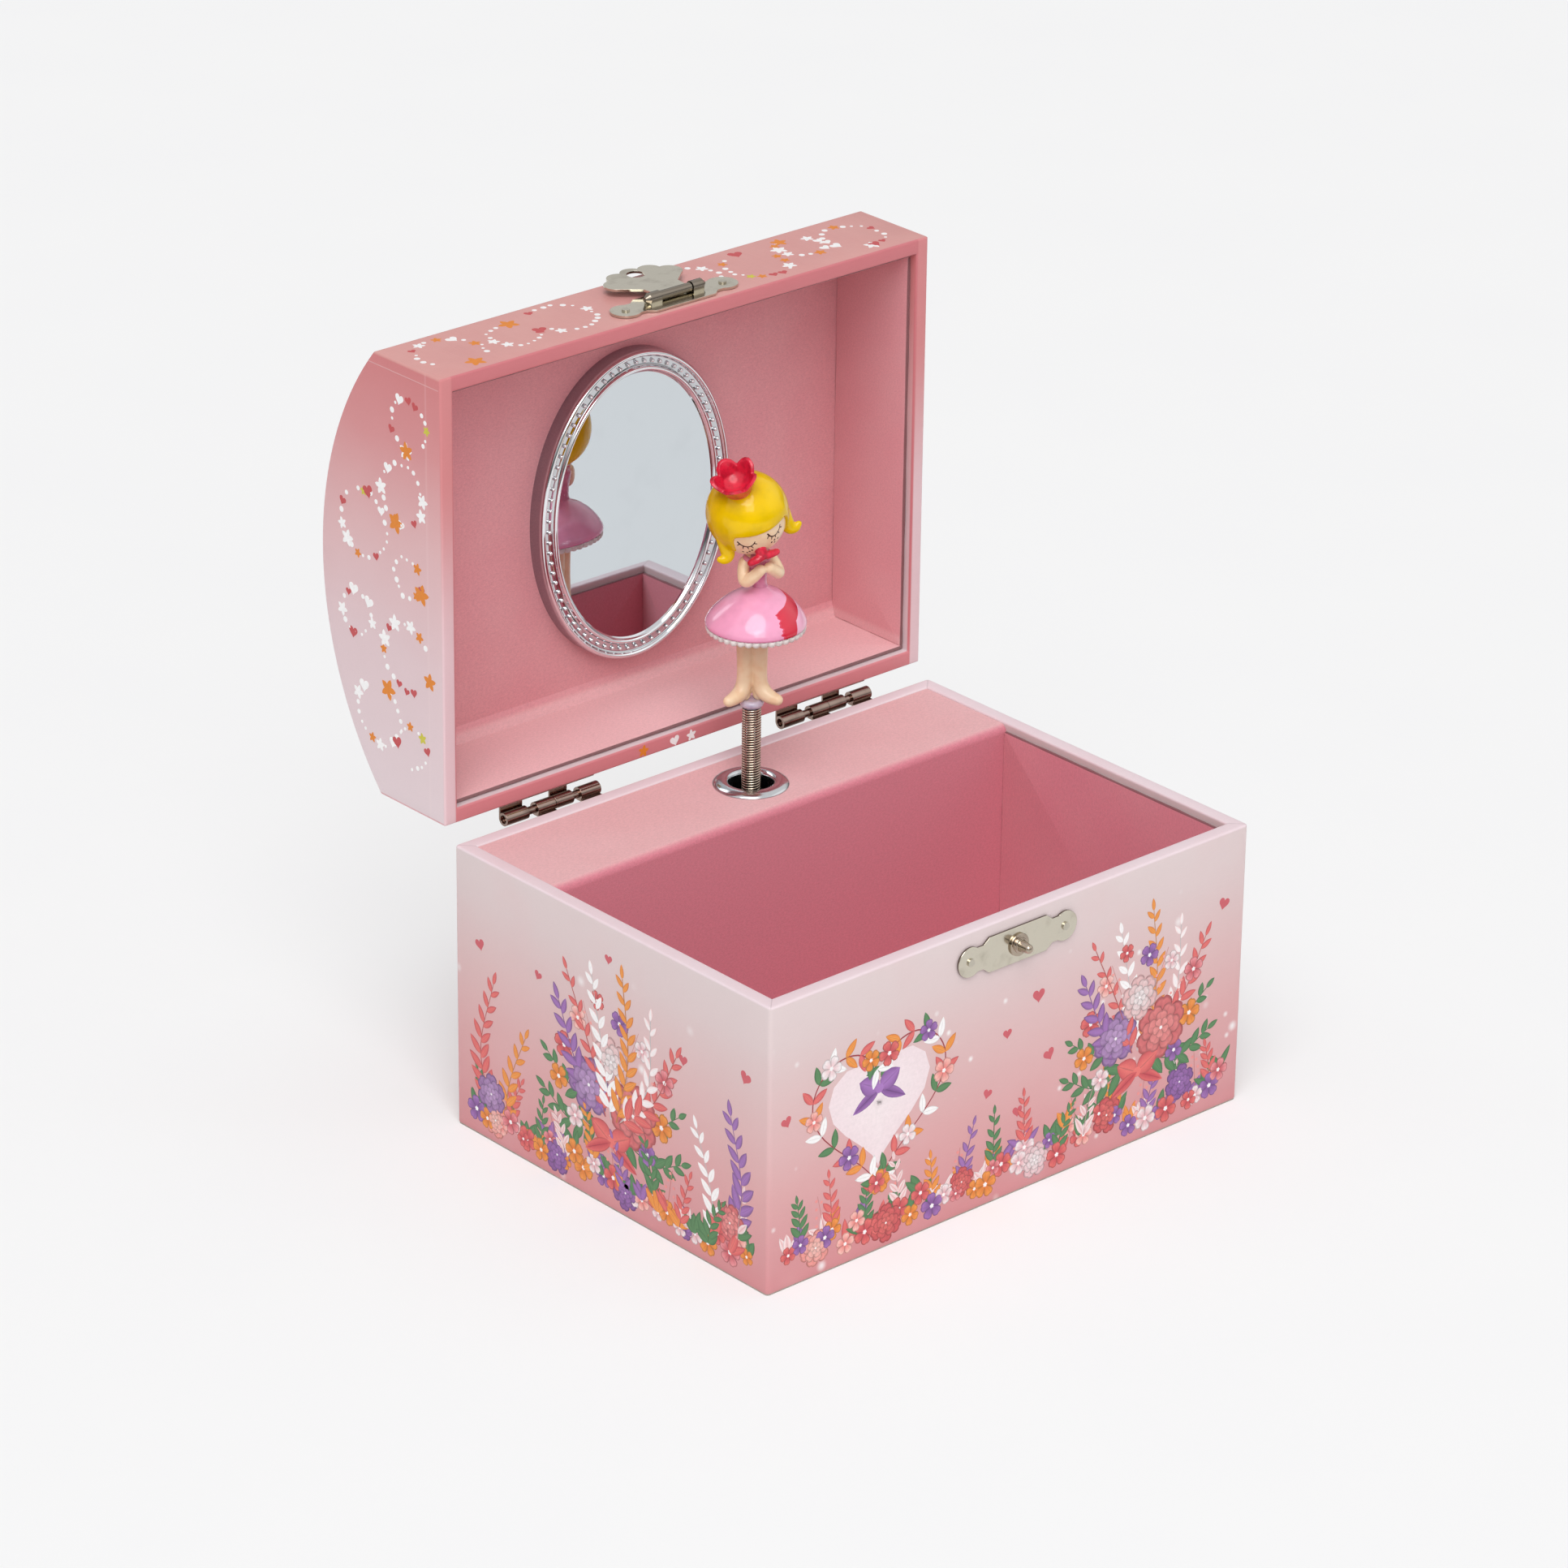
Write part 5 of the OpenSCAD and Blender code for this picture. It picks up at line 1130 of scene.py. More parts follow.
class Posed(Shape):
    """A piece whose grids are given in its own frame and carried to its place."""

    def __init__(self, *places):
        super().__init__()
        self.places = places

    def grid(self, points, **settings):
        super().grid(posed(points, *self.places), **settings)


def fused(piece, size, rounds):
    """Joins the overlapping closed forms of a piece into one even skin, and smooths it."""
    skin = piece.modifiers.new("skin", "REMESH")
    skin.mode, skin.voxel_size = "VOXEL", size * MM
    relax = piece.modifiers.new("relax", "SMOOTH")
    relax.iterations, relax.factor = rounds, 0.5
    rough = piece.data
    graph = bpy.context.evaluated_depsgraph_get()
    piece.data = bpy.data.meshes.new_from_object(piece.evaluated_get(graph))
    piece.modifiers.clear()
    piece.data.polygons.foreach_set("use_smooth", np.ones(len(piece.data.polygons), bool))
    piece.data.set_sharp_from_angle(angle=radians(SOFT_EDGE))
    bpy.data.meshes.remove(rough)
    return piece


def limb(shape, stations, count, around=20, flat=1.0, lean=(0, 0, 1)):
    """A tube through stations of place and radius, smoothly joined."""
    path = smooth_path(stations, count)
    tube(shape, path[:, :3], path[:, 3], around, flat, lean)


def mirrored(*stations):
    """The stations of a limb on each side of her middle."""
    return [np.array(stations) * (side, 1, 1, 1) for side in (-1, 1)]


def dancer_legs(paint):
    """Two legs that touch, bending out into feet; the soles are flat where the shape is cut
    off at the bead's height."""
    shape = Posed(DANCER)
    legs = mirrored((1.9, 0, 24, 2.3), (1.85, 0, 17, 2.15), (1.8, 0, 11, 2.0),
                    (1.8, 0.1, 7, 1.95), (2.0, 0, 4.4, 2.0), (2.9, -0.8, 2.5, 2.0),
                    (4.5, -2.1, 1.6, 1.75), (5.9, -3.2, 1.3, 1.45))
    for leg, heel in zip(legs, mirrored((1.8, 0.4, 4, 1.8), (1.9, 0.5, 1.5, 1.7))):
        limb(shape, leg, 40, lean=(0, 1, 0.4))
        limb(shape, heel, 8)
    limb(shape, [(0, 0.3, 24, 1.0), (0, 0.3, 6, 1.0), (0, 0.3, 2, 1.5)], 14)
    shape.points = [np.maximum(p, (-1e3, -1e3, SOLES_Z)) for p in shape.points]
    return fused(shape.build("dancer_legs", "dancer", "skin_resin", paint, "figure_legs"),
                 0.2, 3)


def skirt_profile(inset):
    """The bell from hem to waist, as radius and height. Each point is a share of the hem's
    radius, less a length, less a share of the inset, at a height over the hem."""
    return smooth_path([(SKIRT_R * share - less - inset * wall, LEG_H + up)
                        for share, less, wall, up in (
                            (1, 0.5, 1, 0), (1, 0.08, 1, 0.35), (1, 0, 1, 0.9),
                            (1, 0.35, 1, 1.9), (0.87, 0, 1, 3.8), (0.67, 0, 1, 6.3),
                            (0.42, 0, 0.8, 8.5), (0.24, 0, 0.5, 9.6))]
                       + [(1.75 - inset * 0.3, WAIST_H)], 40)


def dancer_skirt(paint):
    """The bell turned about its axis, with a wall; the waist is shifted to her left by a
    shear."""
    shape = Posed(DANCER)
    wall = skirt_profile(0.8) - (0, 0.7)
    profile = np.concatenate([skirt_profile(0), wall[::-1]])
    turn = full_turn(128)
    radius = np.maximum(profile[:, :1], 0.2)
    climb = np.maximum(profile[:, 1:] - LEG_H, 0) / (WAIST_H - LEG_H)
    shear = SKIRT_SHIFT + climb**1.5
    shape.grid(circled(radius, profile[:, 1:], turn, shear), rows=True, columns=True)
    return shape.build("dancer_skirt", "dancer", "pink_resin", paint, "figure_skirt", 60)


def dancer_frill(paint):
    """A flat ring under the hem whose outer edge is a row of scallops: the radius swells with
    the absolute cosine of nineteen times the angle."""
    shape = Posed(DANCER)
    low, high = LEG_H - 1.4, LEG_H
    profile = np.array([(9.9, high), (11.2, high), (12.2, high), (12.32, high - 0.2),
                        (12.2, low + 0.25), (11.9, low + 0.04), (11.2, low), (9.9, low)])
    out = np.array([0, 0, 1, 1, 1, 1, 0.3, 0])[:, None]
    turn = full_turn(570)
    scallop = np.abs(np.cos(19 * turn)) ** 0.6
    radius = profile[:, :1] - out * 0.75 * (1 - scallop)
    height = profile[:, 1:] + 0.3 * out * (1 - scallop)
    shape.grid(circled(radius, height, turn, SKIRT_SHIFT), rows=True, columns=True)
    return shape.build("dancer_frill", "dancer", "white_resin", paint, "skirt_trim", 50)


def dancer_arms(paint):
    """Folded arms, shoulders and neck in one soft form."""
    shape = Posed(TORSO, DANCER)
    for arm in mirrored((2.3, 0.2, 7.6, 1.4), (3.4, 0, 6.8, 1.5), (4.3, -1.0, 4.6, 1.5),
                        (4.3, -2.1, 3.2, 1.6), (3.1, -3.5, 4.3, 1.55), (1.2, -4.6, 6.2, 1.4)):
        limb(shape, arm, 40, 18, lean=(0.3, 0.2, 1))
    limb(shape, [(0, 0, 7, 2.2), (0, 0, 8.6, 1.7), (0, 0, 11, 1.5)], 10)
    return fused(shape.build("dancer_arms", "dancer", "skin_resin", paint, "figure_torso"),
                 0.2, 6)


def dancer_bodice(paint):
    """The bodice: a narrow waist widening to the chest, with a standing collar of two flat
    lapels over the shoulders."""
    shape = Posed(TORSO, DANCER)
    profile = smooth_path([(0.1, -0.6), (1.9, -0.4), (1.75, 0.6), (1.95, 2.6), (2.5, 4.8),
                           (3.05, 6.6), (2.9, 7.7), (2.1, 8.5), (0.1, 8.8)], 30)
    profile[:, 0] = np.maximum(profile[:, 0], 0.02)
    turned(shape, profile, (0, 0, 0), count=48)
    for lapel in mirrored((0.6, -2.2, 6.2, 0.7), (2.2, -2.0, 7.6, 0.85),
                          (3.0, -0.4, 8.5, 0.75), (2.1, 1.3, 8.5, 0.6)):
        limb(shape, lapel, 20, 12, 0.5)
    return fused(shape.build("dancer_bodice", "dancer", "pearl_resin", paint, "figure_torso"),
                 0.18, 3)


def dancer_bow(paint):
    """A soft bow held at the chin: two long lobes and a round knot above them."""
    shape = Posed((np.eye(3), np.array([-0.6, -6.4, 10.3])), TORSO, DANCER)
    limb(shape, [(-0.2, 0, 0.4, 1.2), (-1.7, -0.2, 0, 1.25), (-3.3, 0.1, -0.6, 1.05)],
         14, 18, 0.8)
    limb(shape, [(0.2, 0, 0.3, 1.2), (1.7, 0, 0.3, 1.2), (3.4, 0.3, 0.3, 1.0)], 14, 18, 0.8)
    limb(shape, [(-0.2, 0.4, 0.8, 1.6), (-0.5, 0.5, 2.2, 1.45)], 10)
    return fused(shape.build("dancer_bow", "dancer", "red_resin", paint, "figure_bow"),
                 0.16, 3)


def dancer_head(paint):
    shape = Posed(HEAD, DANCER)
    turned(shape, arc((0, 0), BALL_R, -90, 90, 60), BALL, count=96)
    return shape.build("dancer_head", "dancer", "skin_resin", paint, "figure_head")


def on_face(a, b, h):
    """Places strokes on the face: a and b are lengths along the ball, right and up from its
    front, and h is a height over it."""
    az, el = a / BALL_R, b / BALL_R
    out = np.stack([np.cos(el) * np.sin(az), -np.cos(el) * np.cos(az), np.sin(el)], -1)
    return posed(BALL + (BALL_R + h)[..., None] * out, HEAD, DANCER)


def dancer_face(paint):
    """Closed eyelids, their lashes and the freckles, as raised strokes of paint."""
    shape = Shape()
    ink = Print(shape, on_face)
    mm = BALL_R * pi / 180
    for lid, lashes in (
        ([(-29.5, -12.2), (-25.6, -20.2), (-19.6, -25.6), (-12.8, -27), (-6.4, -24.6),
          (-1.5, -19.6)],
         [(-28, -18, -33.4, -20.2), (-23.4, -24, -27.2, -29.8), (-17, -27, -17.6, -33.2),
          (-10.4, -26.8, -8.4, -32.6), (-4.2, -22.6, 0.6, -25.8)]),
        ([(21.2, -14.2), (25.6, -21.2), (31.4, -24.6), (38.2, -24.2), (45, -19.6),
          (49.6, -12)],
         [(23, -19, 19.6, -24), (29, -24.2, 27.6, -30), (36, -25, 37.6, -30.6),
          (42.6, -22, 46.6, -26.4), (47.6, -16.2, 53, -18.4)]),
    ):
        ink.line(np.array(lid) * mm, 0.42, INK, 22)
        for x0, y0, x1, y1 in lashes:
            middle = ((x0 + x1) / 2 + (y1 - y0) * 0.06, (y0 + y1) / 2)
            ink.line(np.array([(x0, y0), middle, (x1, y1)]) * mm, 0.36, INK, 8)
    for x, y in ((-32.9, -38.6), (-26.7, -43.4), (-19.6, -40.4), (-13.2, -38.2),
                 (28.5, -37.1), (35.2, -34.6), (37.4, -41.4), (44.6, -36.2)):
        ink.dot((x * mm, y * mm), 0.33, INK)
    return shape.build("dancer_face", "dancer", "skin_resin", paint)


def dancer_hair(paint):
    """A bob cut: a shell round the head whose edge runs level over the brow and drops at the
    sides and back; two locks flip outwards."""
    shape = Posed((spun("Z", 16), np.zeros(3)), HEAD, DANCER)
    around = np.linspace(-pi, pi, 120, endpoint=False)
    side = 1 / (1 + np.exp(-(np.abs(around) - radians(53)) / 0.05))
    edge = radians(-8) + side * radians(-34) - 0.10 * np.cos(2 * around) * (1 - side)
    rows = np.linspace(0, 1, 26)[:, None]
    el = pi / 2 + (edge - pi / 2) * rows
    swell = 1 + 0.02 * np.exp(-(((rows - 0.93) / 0.12) ** 2))
    turn = np.linspace(0, pi, 7)[1:-1, None]
    outer = np.stack([HAIR_R * swell * np.cos(el) * np.sin(around),
                      -HAIR_R * swell * np.cos(el) * np.cos(around),
                      HAIR_R * swell * np.sin(el)], -1)
    inner = outer[::-1] * 0.86
    lip = outer[-1] * (1 - 0.07 * (1 - np.cos(turn))[..., None])
    down = np.stack([np.sin(edge) * np.sin(around), -np.sin(edge) * np.cos(around),
                     -np.cos(edge)], -1)
    lip = lip + down * 0.7 * np.sin(turn)[..., None]
    shape.grid(np.concatenate([outer, lip, inner]), columns=True)
    for lock in mirrored((8.2, -1.5, -0.5, 1.3), (8.2, -1.3, -3.4, 1.7),
                         (8.05, -1.2, -6.0, 1.85), (8.4, -1.4, -7.8, 1.7),
                         (9.6, -1.7, -8.3, 1.3), (10.7, -1.8, -7.8, 0.85)):
        limb(shape, lock, 40, 20, 0.85, (0, 1, 0))
    return fused(shape.build("dancer_hair", "dancer", "yellow_resin", paint, "figure_hair"),
                 0.26, 5)


def dancer_crown(paint):
    """A flower crown: a cup whose rim rises and flares in five petals. The petal wave is the
    absolute cosine of two and a half times the angle; it lifts and spreads the upper rows."""
    shape = Posed((np.eye(3), np.array([0, 0, HAIR_R - 1.4])),
                  (spun("X", 29), np.zeros(3)), HEAD, DANCER)
    turn = full_turn(120)
    petal = np.abs(np.cos(2.5 * (turn + radians(108)))) ** 0.9

    def wall(share, inset):
        reach = 2.9 + 2.2 * share**0.7 - inset
        flare = petal * share**2.4 * 0.9 - (1 - petal) * share * 0.3
        rise = 6.4 * share * (0.7 + 0.3 * petal)
        return circled(reach + flare, rise, turn)

    out = np.linspace(0, 1, 22)[:, None]
    outer = wall(out, 0.0)
    inner = wall(out[::-1][:9], 1.0)
    base = outer[:1] * (0.02, 0.02, 1)
    sunk = np.linspace(0.9, 0.02, 12)[:, None]
    pit = circled(3.5 * sunk, 1.8 + 1.3 * sunk**2, turn)
    shape.grid(np.concatenate([base, outer, inner, pit]), columns=True)
    return fused(shape.build("dancer_crown", "dancer", "red_resin", paint, "figure_crown"),
                 0.15, 9)


def dancer_bead(paint):
    """The lilac bead between the soles and the spring, with the peg that fills the coil."""
    shape = Shape()
    base = SOLES_Z - BEAD_HIGH
    profile = np.concatenate([[(0.02, PEG_Z), (1.2, PEG_Z), (1.2, base), (2.5, base)],
                              arc((1.95, base + 0.95), 1.0, -80, 80, 10),
                              [(1.2, base + 1.75), (0.02, base + 1.75)]])
    turned(shape, profile, SPINDLE, count=40)
    return shape.build("dancer_bead", "dancer", "pearl_resin", paint, "figure_peg")


def coil_paint():
    """Spring steel, with painted shade between the coils, where the wire turns inwards."""
    paint = Paint("coil_steel")
    reach = (paint.x - SPINDLE[0]).reach(paint.y - SPINDLE[1])
    painted_gap_shade = 1 - reach.rise(COIL_R - 0.24, COIL_R - 0.06)
    stain = paint.noise(2.0, 3.0)
    tone = paint.mix(stain.rise(0.35, 0.8) * 0.5, rgb(206, 190, 172), rgb(150, 124, 100))
    # Painted shade: near black on the wire's inner side, in the gaps between the turns
    tone = paint.mix(painted_gap_shade, tone, rgb(46, 30, 24))
    return paint.skin(tone, stain * 0.1 + 0.14, stain, 0.003, Metallic=1.0)


def coil_spring(paint):
    """A close coil: the path turns about the spindle's axis while it climbs evenly."""
    shape = Shape()
    turn = np.linspace(0, 2 * pi * COIL_TURNS, 20 * COIL_TURNS)
    z = np.linspace(SPRING_LOW[2] + COIL_END, SPRING_HIGH[2] - COIL_END, len(turn))
    radius = COIL_R - WIRE
    path = np.stack([SPINDLE[0] + radius * np.cos(turn), SPINDLE[1] + radius * np.sin(turn),
                     z], 1)
    tube(shape, path, WIRE, 10)
    spring = shape.build("coil_spring", None, "spring_steel", paint, "figure_spring")
    axis = (SPINDLE[0] * MM, SPINDLE[1] * MM)
    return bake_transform(spring, "box", "spring", start=(*axis, BLEND_LOW), end=(*axis, BLEND_HIGH))


# ---- The mirror and the grommet ----


BEADS, BEAD_R, BEAD_INSET, BEAD_Y = 76, 0.55, 2.8, 4.2
# Depths in front of the ring's back, between which its crest and its valley darken: painted dark reflections
# on the chrome
CREST, VALLEY = (4.65, 4.3), (3.9, 3.3)


def mirror_frame(paint):
    """A moulded ring: its section is carried round the oval, each point moved in along the
    oval's normal, with a row of beads at even steps along it."""
    shape = Shape()
    a, b = (MIRROR_HIGH - MIRROR_LOW)[[0, 2]] / 2
    centre = (MIRROR_HIGH + MIRROR_LOW) / 2
    back = MIRROR_HIGH[1]
    section = np.array([(0, 0), (0, 3.4), (0.1, 4.1), (0.4, 4.6), (0.85, 4.85), (1.2, 4.8),
                        (1.45, 4.4), (1.6, 4.15), (1.8, 4.05), (3.8, 4.05), (4.0, 4.2),
                        (4.15, 4.6), (4.45, 4.9), (4.8, 4.9), (5.1, 4.6), (5.3, 4.15),
                        (5.5, 4.0), (5.75, 3.8), (5.75, 3.0), (4.2, 2.2), (4.2, 0)])
    fine = np.linspace(0, 2 * pi, 4001)
    length = np.concatenate([[0], np.cumsum(np.hypot(np.diff(a * np.cos(fine)),
                                                     np.diff(b * np.sin(fine))))])

    def at(t, inset):
        """Points on the oval at parameter t, moved inwards."""
        normal = np.stack([-b * np.cos(t), -a * np.sin(t)], -1)
        normal /= np.linalg.norm(normal, axis=-1, keepdims=True)
        return np.stack([a * np.cos(t), b * np.sin(t)], -1) + normal * inset

    t = np.interp(np.linspace(0, length[-1], 361)[:-1], length, fine)
    ring = at(t, section[:, :1, None] + 0 * t[:, None])
    points = np.stack([centre[0] + ring[..., 0], back - section[:, 1:] + 0 * t,
                       centre[2] + ring[..., 1]], -1)
    shape.grid(points, rows=True, columns=True)
    spots = np.interp(np.linspace(0, length[-1], BEADS + 1)[:-1], length, fine)
    for x, z in at(spots, BEAD_INSET):
        turned(shape, arc((0, 0), BEAD_R, -90, 90, 7),
               (centre[0] + x, back - BEAD_Y, centre[2] + z), count=12, axis=1)
    return shape.build("mirror_frame_ring", "lid", "chrome_plastic", paint,
                       "mirror_frame", 50)


def grommet_ring(paint):
    """A turned eyelet: a rolled ring over a short tube."""
    shape = Shape()
    out = (GROMMET_HIGH[0] - GROMMET_LOW[0]) / 2
    top, low, deck = GROMMET_HIGH[2], GROMMET_LOW[2], STAGE_HIGH[2]
    roll = smooth_path([(5.5, deck - 0.6), (5.55, deck + 0.3), (5.95, top - 0.35),
                        (6.8, top - 0.02), (7.9, top - 0.12), (8.9, top - 0.55),
                        (out - 0.05, deck + 0.3), (out, deck + 0.02)], 34)
    profile = np.concatenate([[(5.5, low)], roll, [(out - 0.2, deck), (6.4, deck), (6.4, low),
                                                   (5.5, low)]])
    turned(shape, profile, SPINDLE, count=96)
    return shape.build("grommet_ring", "box", "bright_steel", paint, "grommet", 40)


# ---- Linings ----


def strip(shape, section, low, high):
    """A bar along x: its section closes to a point at both ends."""
    section = np.asarray(section, float)
    middle = section.mean(0)
    x = np.array([low, low, high, high])[:, None]
    ring = middle + (section - middle) * np.array([0.01, 1, 1, 0.01])[:, None, None]
    shape.grid(np.stack([x + 0 * ring[..., 0], ring[..., 0], ring[..., 1]], -1), columns=True)


def lining(name, body, cards, node, paint, strips=()):
    """Flocked cards that line a compartment: each is a slab with round, slightly uneven
    edges. strips are narrow cards along x, given by their sections."""
    shape = Shape()
    for section in strips:
        strip(shape, section, HALF[0] * -1 + WALL, HALF[0] - WALL)
    for low, high, axis in cards:
        slab(shape, low, high, axis, 0.35, 0.05)
    return shape.build(name, body, "flock", paint, node, 50)


# ---- Printed designs ----


def front_design(face):
    """A heart of flowers on the left, a bouquet on the right, and a bank of flowers."""
    heart_wreath(face.at((-43, 39)))
    meadow(face.at(), -70, 70, 7, 3)
    bouquet(face.at((42, 25), 0.96))
    scattered(face, [(-8, 30), (2, 22), (12, 34), (-43, 40), (-2, 44), (-72, 44), (70, 56),
                     (8, 51)], 1.8)


def left_design(face):
    """A bouquet in the middle, tall sprigs and a full bloom at each end, and a bank."""
    meadow(face.at(), -50, 50, 6, 7)
    bouquet(face.at((1, 24), 1.02))
    tall = face.at()
    tall.sprig([(44, 8), (48, 24), (44, 42)], 8, 7.2, 3.0, LILAC_LEAF)
    tall.sprig([(39, 6), (37, 20), (32, 34)], 6, 5.8, 2.3, WHITE_LEAF, PALE_VEIN)
    tall.sprig([(-44, 8), (-48, 24), (-43, 43)], 8, 6.6, 2.5, CORAL_LEAF)
    tall.sprig([(-39, 6), (-37, 19), (-31, 33)], 6, 5.8, 2.3, AMBER_LEAF)
    tall.rosette((44, 14), 5.4, 12, FULL_RED)
    tall.rosette((-44, 13), 5.6, 30, FULL_VIOLET)
    scattered(face, [(-26, 52), (27, 50), (-48, 52), (49, 54), (0, 66)], 1.7)


def right_design(face):
    """A heart of flowers between two tall sprigs, and a bank of flowers."""
    meadow(face.at(), -50, 50, 6, 9)
    heart_wreath(face.at((0, 39)))
    tall = face.at()
    for side, tones in ((-1, LILAC_LEAF), (1, AMBER_LEAF)):
        tall.sprig([(side * 36, 7), (side * 45, 20), (side * 43, 40)], 8, 6.8, 2.7, tones)
        tall.rosette((side * 39, 13), 5.6, 12, FULL_RED)
    scattered(face, [(0, 40), (-28, 54), (28, 54)], 1.8)


def back_design(face):
    """Two garlands over a bank of flowers."""
    meadow(face.at(), -70, 70, 6, 13)
    for side in (-1, 1):
        garland(face, (side * 70, 46), (side * 20, 46), 9, 5 + side)
        face.rosette((side * 70, 47), 5.2, 20, FULL_VIOLET)
        face.rosette((side * 19, 47), 4.8, 20, PALE_BLOOM)
    scattered(face, [(-45, 52), (45, 52), (-45, 26), (45, 26)], 1.8)


def base_prints(paint):
    """Each wall's design as a piece of its own."""
    for name, design in (("front", front_design), ("left", left_design),
                         ("right", right_design), ("back", back_design)):
        shape = Shape()
        design(Print(shape, FACES[name]))
        shape.build(f"{name}_print", "box", "base_paper", paint, sharp=25)


def lid_prints(paint):
    """Rings of small motifs on the lid's vault, walls and ends."""
    shape = Shape()
    rows = [(-60 + 20.5 * k, b + 9 * (k % 2), 8.6 + 0.9 * ((k * 3) % 2))
            for k in range(7) for b in (-44, -22, 0, 22, 40)]
    dotted_rings(Print(shape, lid_vault), [(a, min(max(b, -48), 47), r) for a, b, r in rows
                                           if abs(b) < 50 and abs(a) < 66], 11)
    ends = [(12, 178, 6.6), (15, 160, 7.8), (30, 148, 8.8), (13, 139, 5.2), (14, 118, 8.6),
            (33, 124, 5.6), (25, 100, 8.2), (12, 95, 5.4)]
    walls = [(-64, 13, 8.6), (-45, 12, 6.4), (-29, 14, 8.4), (13, 15, 7.2), (31, 12, 8.4),
             (48, 15, 6.0), (63, 12, 7.6)]
    for name, rings, seed in (("lid_left", ends, 21), ("lid_right", ends, 22),
                              ("lid_front", walls, 31), ("lid_back", walls, 32)):
        dotted_rings(Print(shape, FACES[name]), rings, seed)
    rim = Print(shape, FACES["lid_rim"])
    rim.star((-14.8, 80.3), 1.7, STAR_ORANGE, -10)
    rim.heart((-4.7, 80.3), 1.5, WHITE, 12)
    rim.star((0.7, 80.2), 1.6, WHITE, 6)
    return shape.build("lid_prints", "lid", "lid_paper", paint, sharp=25)


# ---- Settings and operators ----


def colour_setting(name, description, default):
    return bpy.props.FloatVectorProperty(name=name, description=description, size=3, min=0,
                                         max=1, subtype="COLOR", default=default)


class JewelleryBoxSettings(bpy.types.PropertyGroup):
    """Sizes and colours that a user would change."""

    flock_colour: colour_setting("Flock", "Colour of the flocked linings", FLOCK)
    hair_colour: colour_setting("Hair", "Colour of the dancer's hair", rgb(240, 198, 0))
    skirt_colour: colour_setting("Skirt", "Colour of the dancer's skirt", rgb(246, 168, 202))
    red_colour: colour_setting("Crown and bow", "Colour of the crown, bow and skirt's patch",
                               rgb(222, 30, 62))
    edge_width: bpy.props.FloatProperty(
        name="Edge width", description="Width of the rounding on the metal fittings",
        subtype="DISTANCE", unit="LENGTH", min=0, max=0.0005, default=0.00012)


def settings():
    return bpy.context.scene.jewellery_box


def dressed(names, paint):
    """Gives CAD nodes a material."""
    for name in names:
        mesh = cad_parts[name].data
        mesh.materials.clear()
        mesh.materials.append(paint)


class JEWELBOX_OT_papers(bpy.types.Operator):
    """Wrap the base and the lid in printed paper"""

    bl_idname = "jewelbox.papers"
    bl_label = "Papers"
    bl_options = {"REGISTER"}

    def execute(self, context):
        wrapped("base_paper", base_skin, "box", "base_paper", base_paper_paint(), "base_wrap",
                True)
        wrapped("lid_paper", lid_skin, "lid", "lid_paper", lid_paper_paint(), "lid_wrap",
                False)
        ink = print_paint()
        base_prints(ink)
        lid_prints(ink)
        return {"FINISHED"}


class JEWELBOX_OT_linings(bpy.types.Operator):
    """Line the compartment and the lid with flocked card"""

    bl_idname = "jewelbox.linings"
    bl_label = "Linings"
    bl_options = {"REGISTER"}

    def execute(self, context):
        flock = tuple(settings().flock_colour)
        # deep, a darker copy of the flock, is painted shade in the compartment; light, a paler copy, is
        # painted light on the stage
        deep = tuple(c * k for c, k in zip(flock, (0.96, 0.74, 0.84)))
        light = tuple(blend(0.3, flock, rgb(238, 214, 210)))
        wide, deep_y, top = HALF[0] - WALL, HALF[1] - WALL, RIM_Z - 2
        face = STAGE_LOW[1]
        # The compartment's cards darken along their top edge at the rim: painted shade
        lining("compartment_lining", "box", [
            ((-wide, -deep_y, 3), (wide, face, 4), 2),
            ((-wide, -deep_y, 4), (wide, -deep_y + 1, top), 1),
            ((-wide, -deep_y + 1, 4), (1 - wide, face, top), 0),
            ((wide - 1, -deep_y + 1, 4), (wide, face, top), 0),
        ], "base_linings", flock_paint("compartment_flock", deep, flock, (1, 1, 0.6),
                                     seam=("z", top - 0.35, 1)))
        low, high = corners("lid_linings")
        # The lid's bottom card is paler, painted light, and its cards darken along the rim: painted shade
        paint = flock_paint("lid_flock", flock, light, (0.6, 1, 1),
                            ("z", low[2] + 2.4,
                             tuple(blend(0.4, flock, rgb(244, 214, 214)))),
                            ("y", low[1] + 0.3, -1))
        lining("lid_lining", "lid", [
            (low, (high[0], high[1], low[2] + 1), 2),
            ((low[0], low[1], high[2] - 1), high, 2),
            ((low[0], low[1], low[2] + 1), (low[0] + 1, high[1], high[2] - 1), 0),
            ((high[0] - 1, low[1], low[2] + 1), (high[0], high[1], high[2] - 1), 0),
        ], "lid_linings", paint)
        low, high = corners("lid_ceiling")
        face, middle = low[1], (low[2] + high[2]) / 2
        bend = np.array([(face + 0.1, low[2] + 1.2), (face - 1.45, low[2] - 3.4),
                         (face - 1.15, low[2] - 3.45), (face + 0.6, low[2] + 1.1)])
        lining("lid_ceiling_card", "lid", [(low, high, 1)], "lid_ceiling", paint,
               [bend, bend * (1, -1) + (0, 2 * middle)])
        # The stage's front face takes the darker copy: painted shade
        softened("stage_cover", "stage_flock", "box", "stage_flock",
                 flock_paint("stage_flock", light, rgb(232, 190, 192), (0.6, 1, 1),
                             ("y", STAGE_LOW[1], deep)), 0.15)
        return {"FINISHED"}


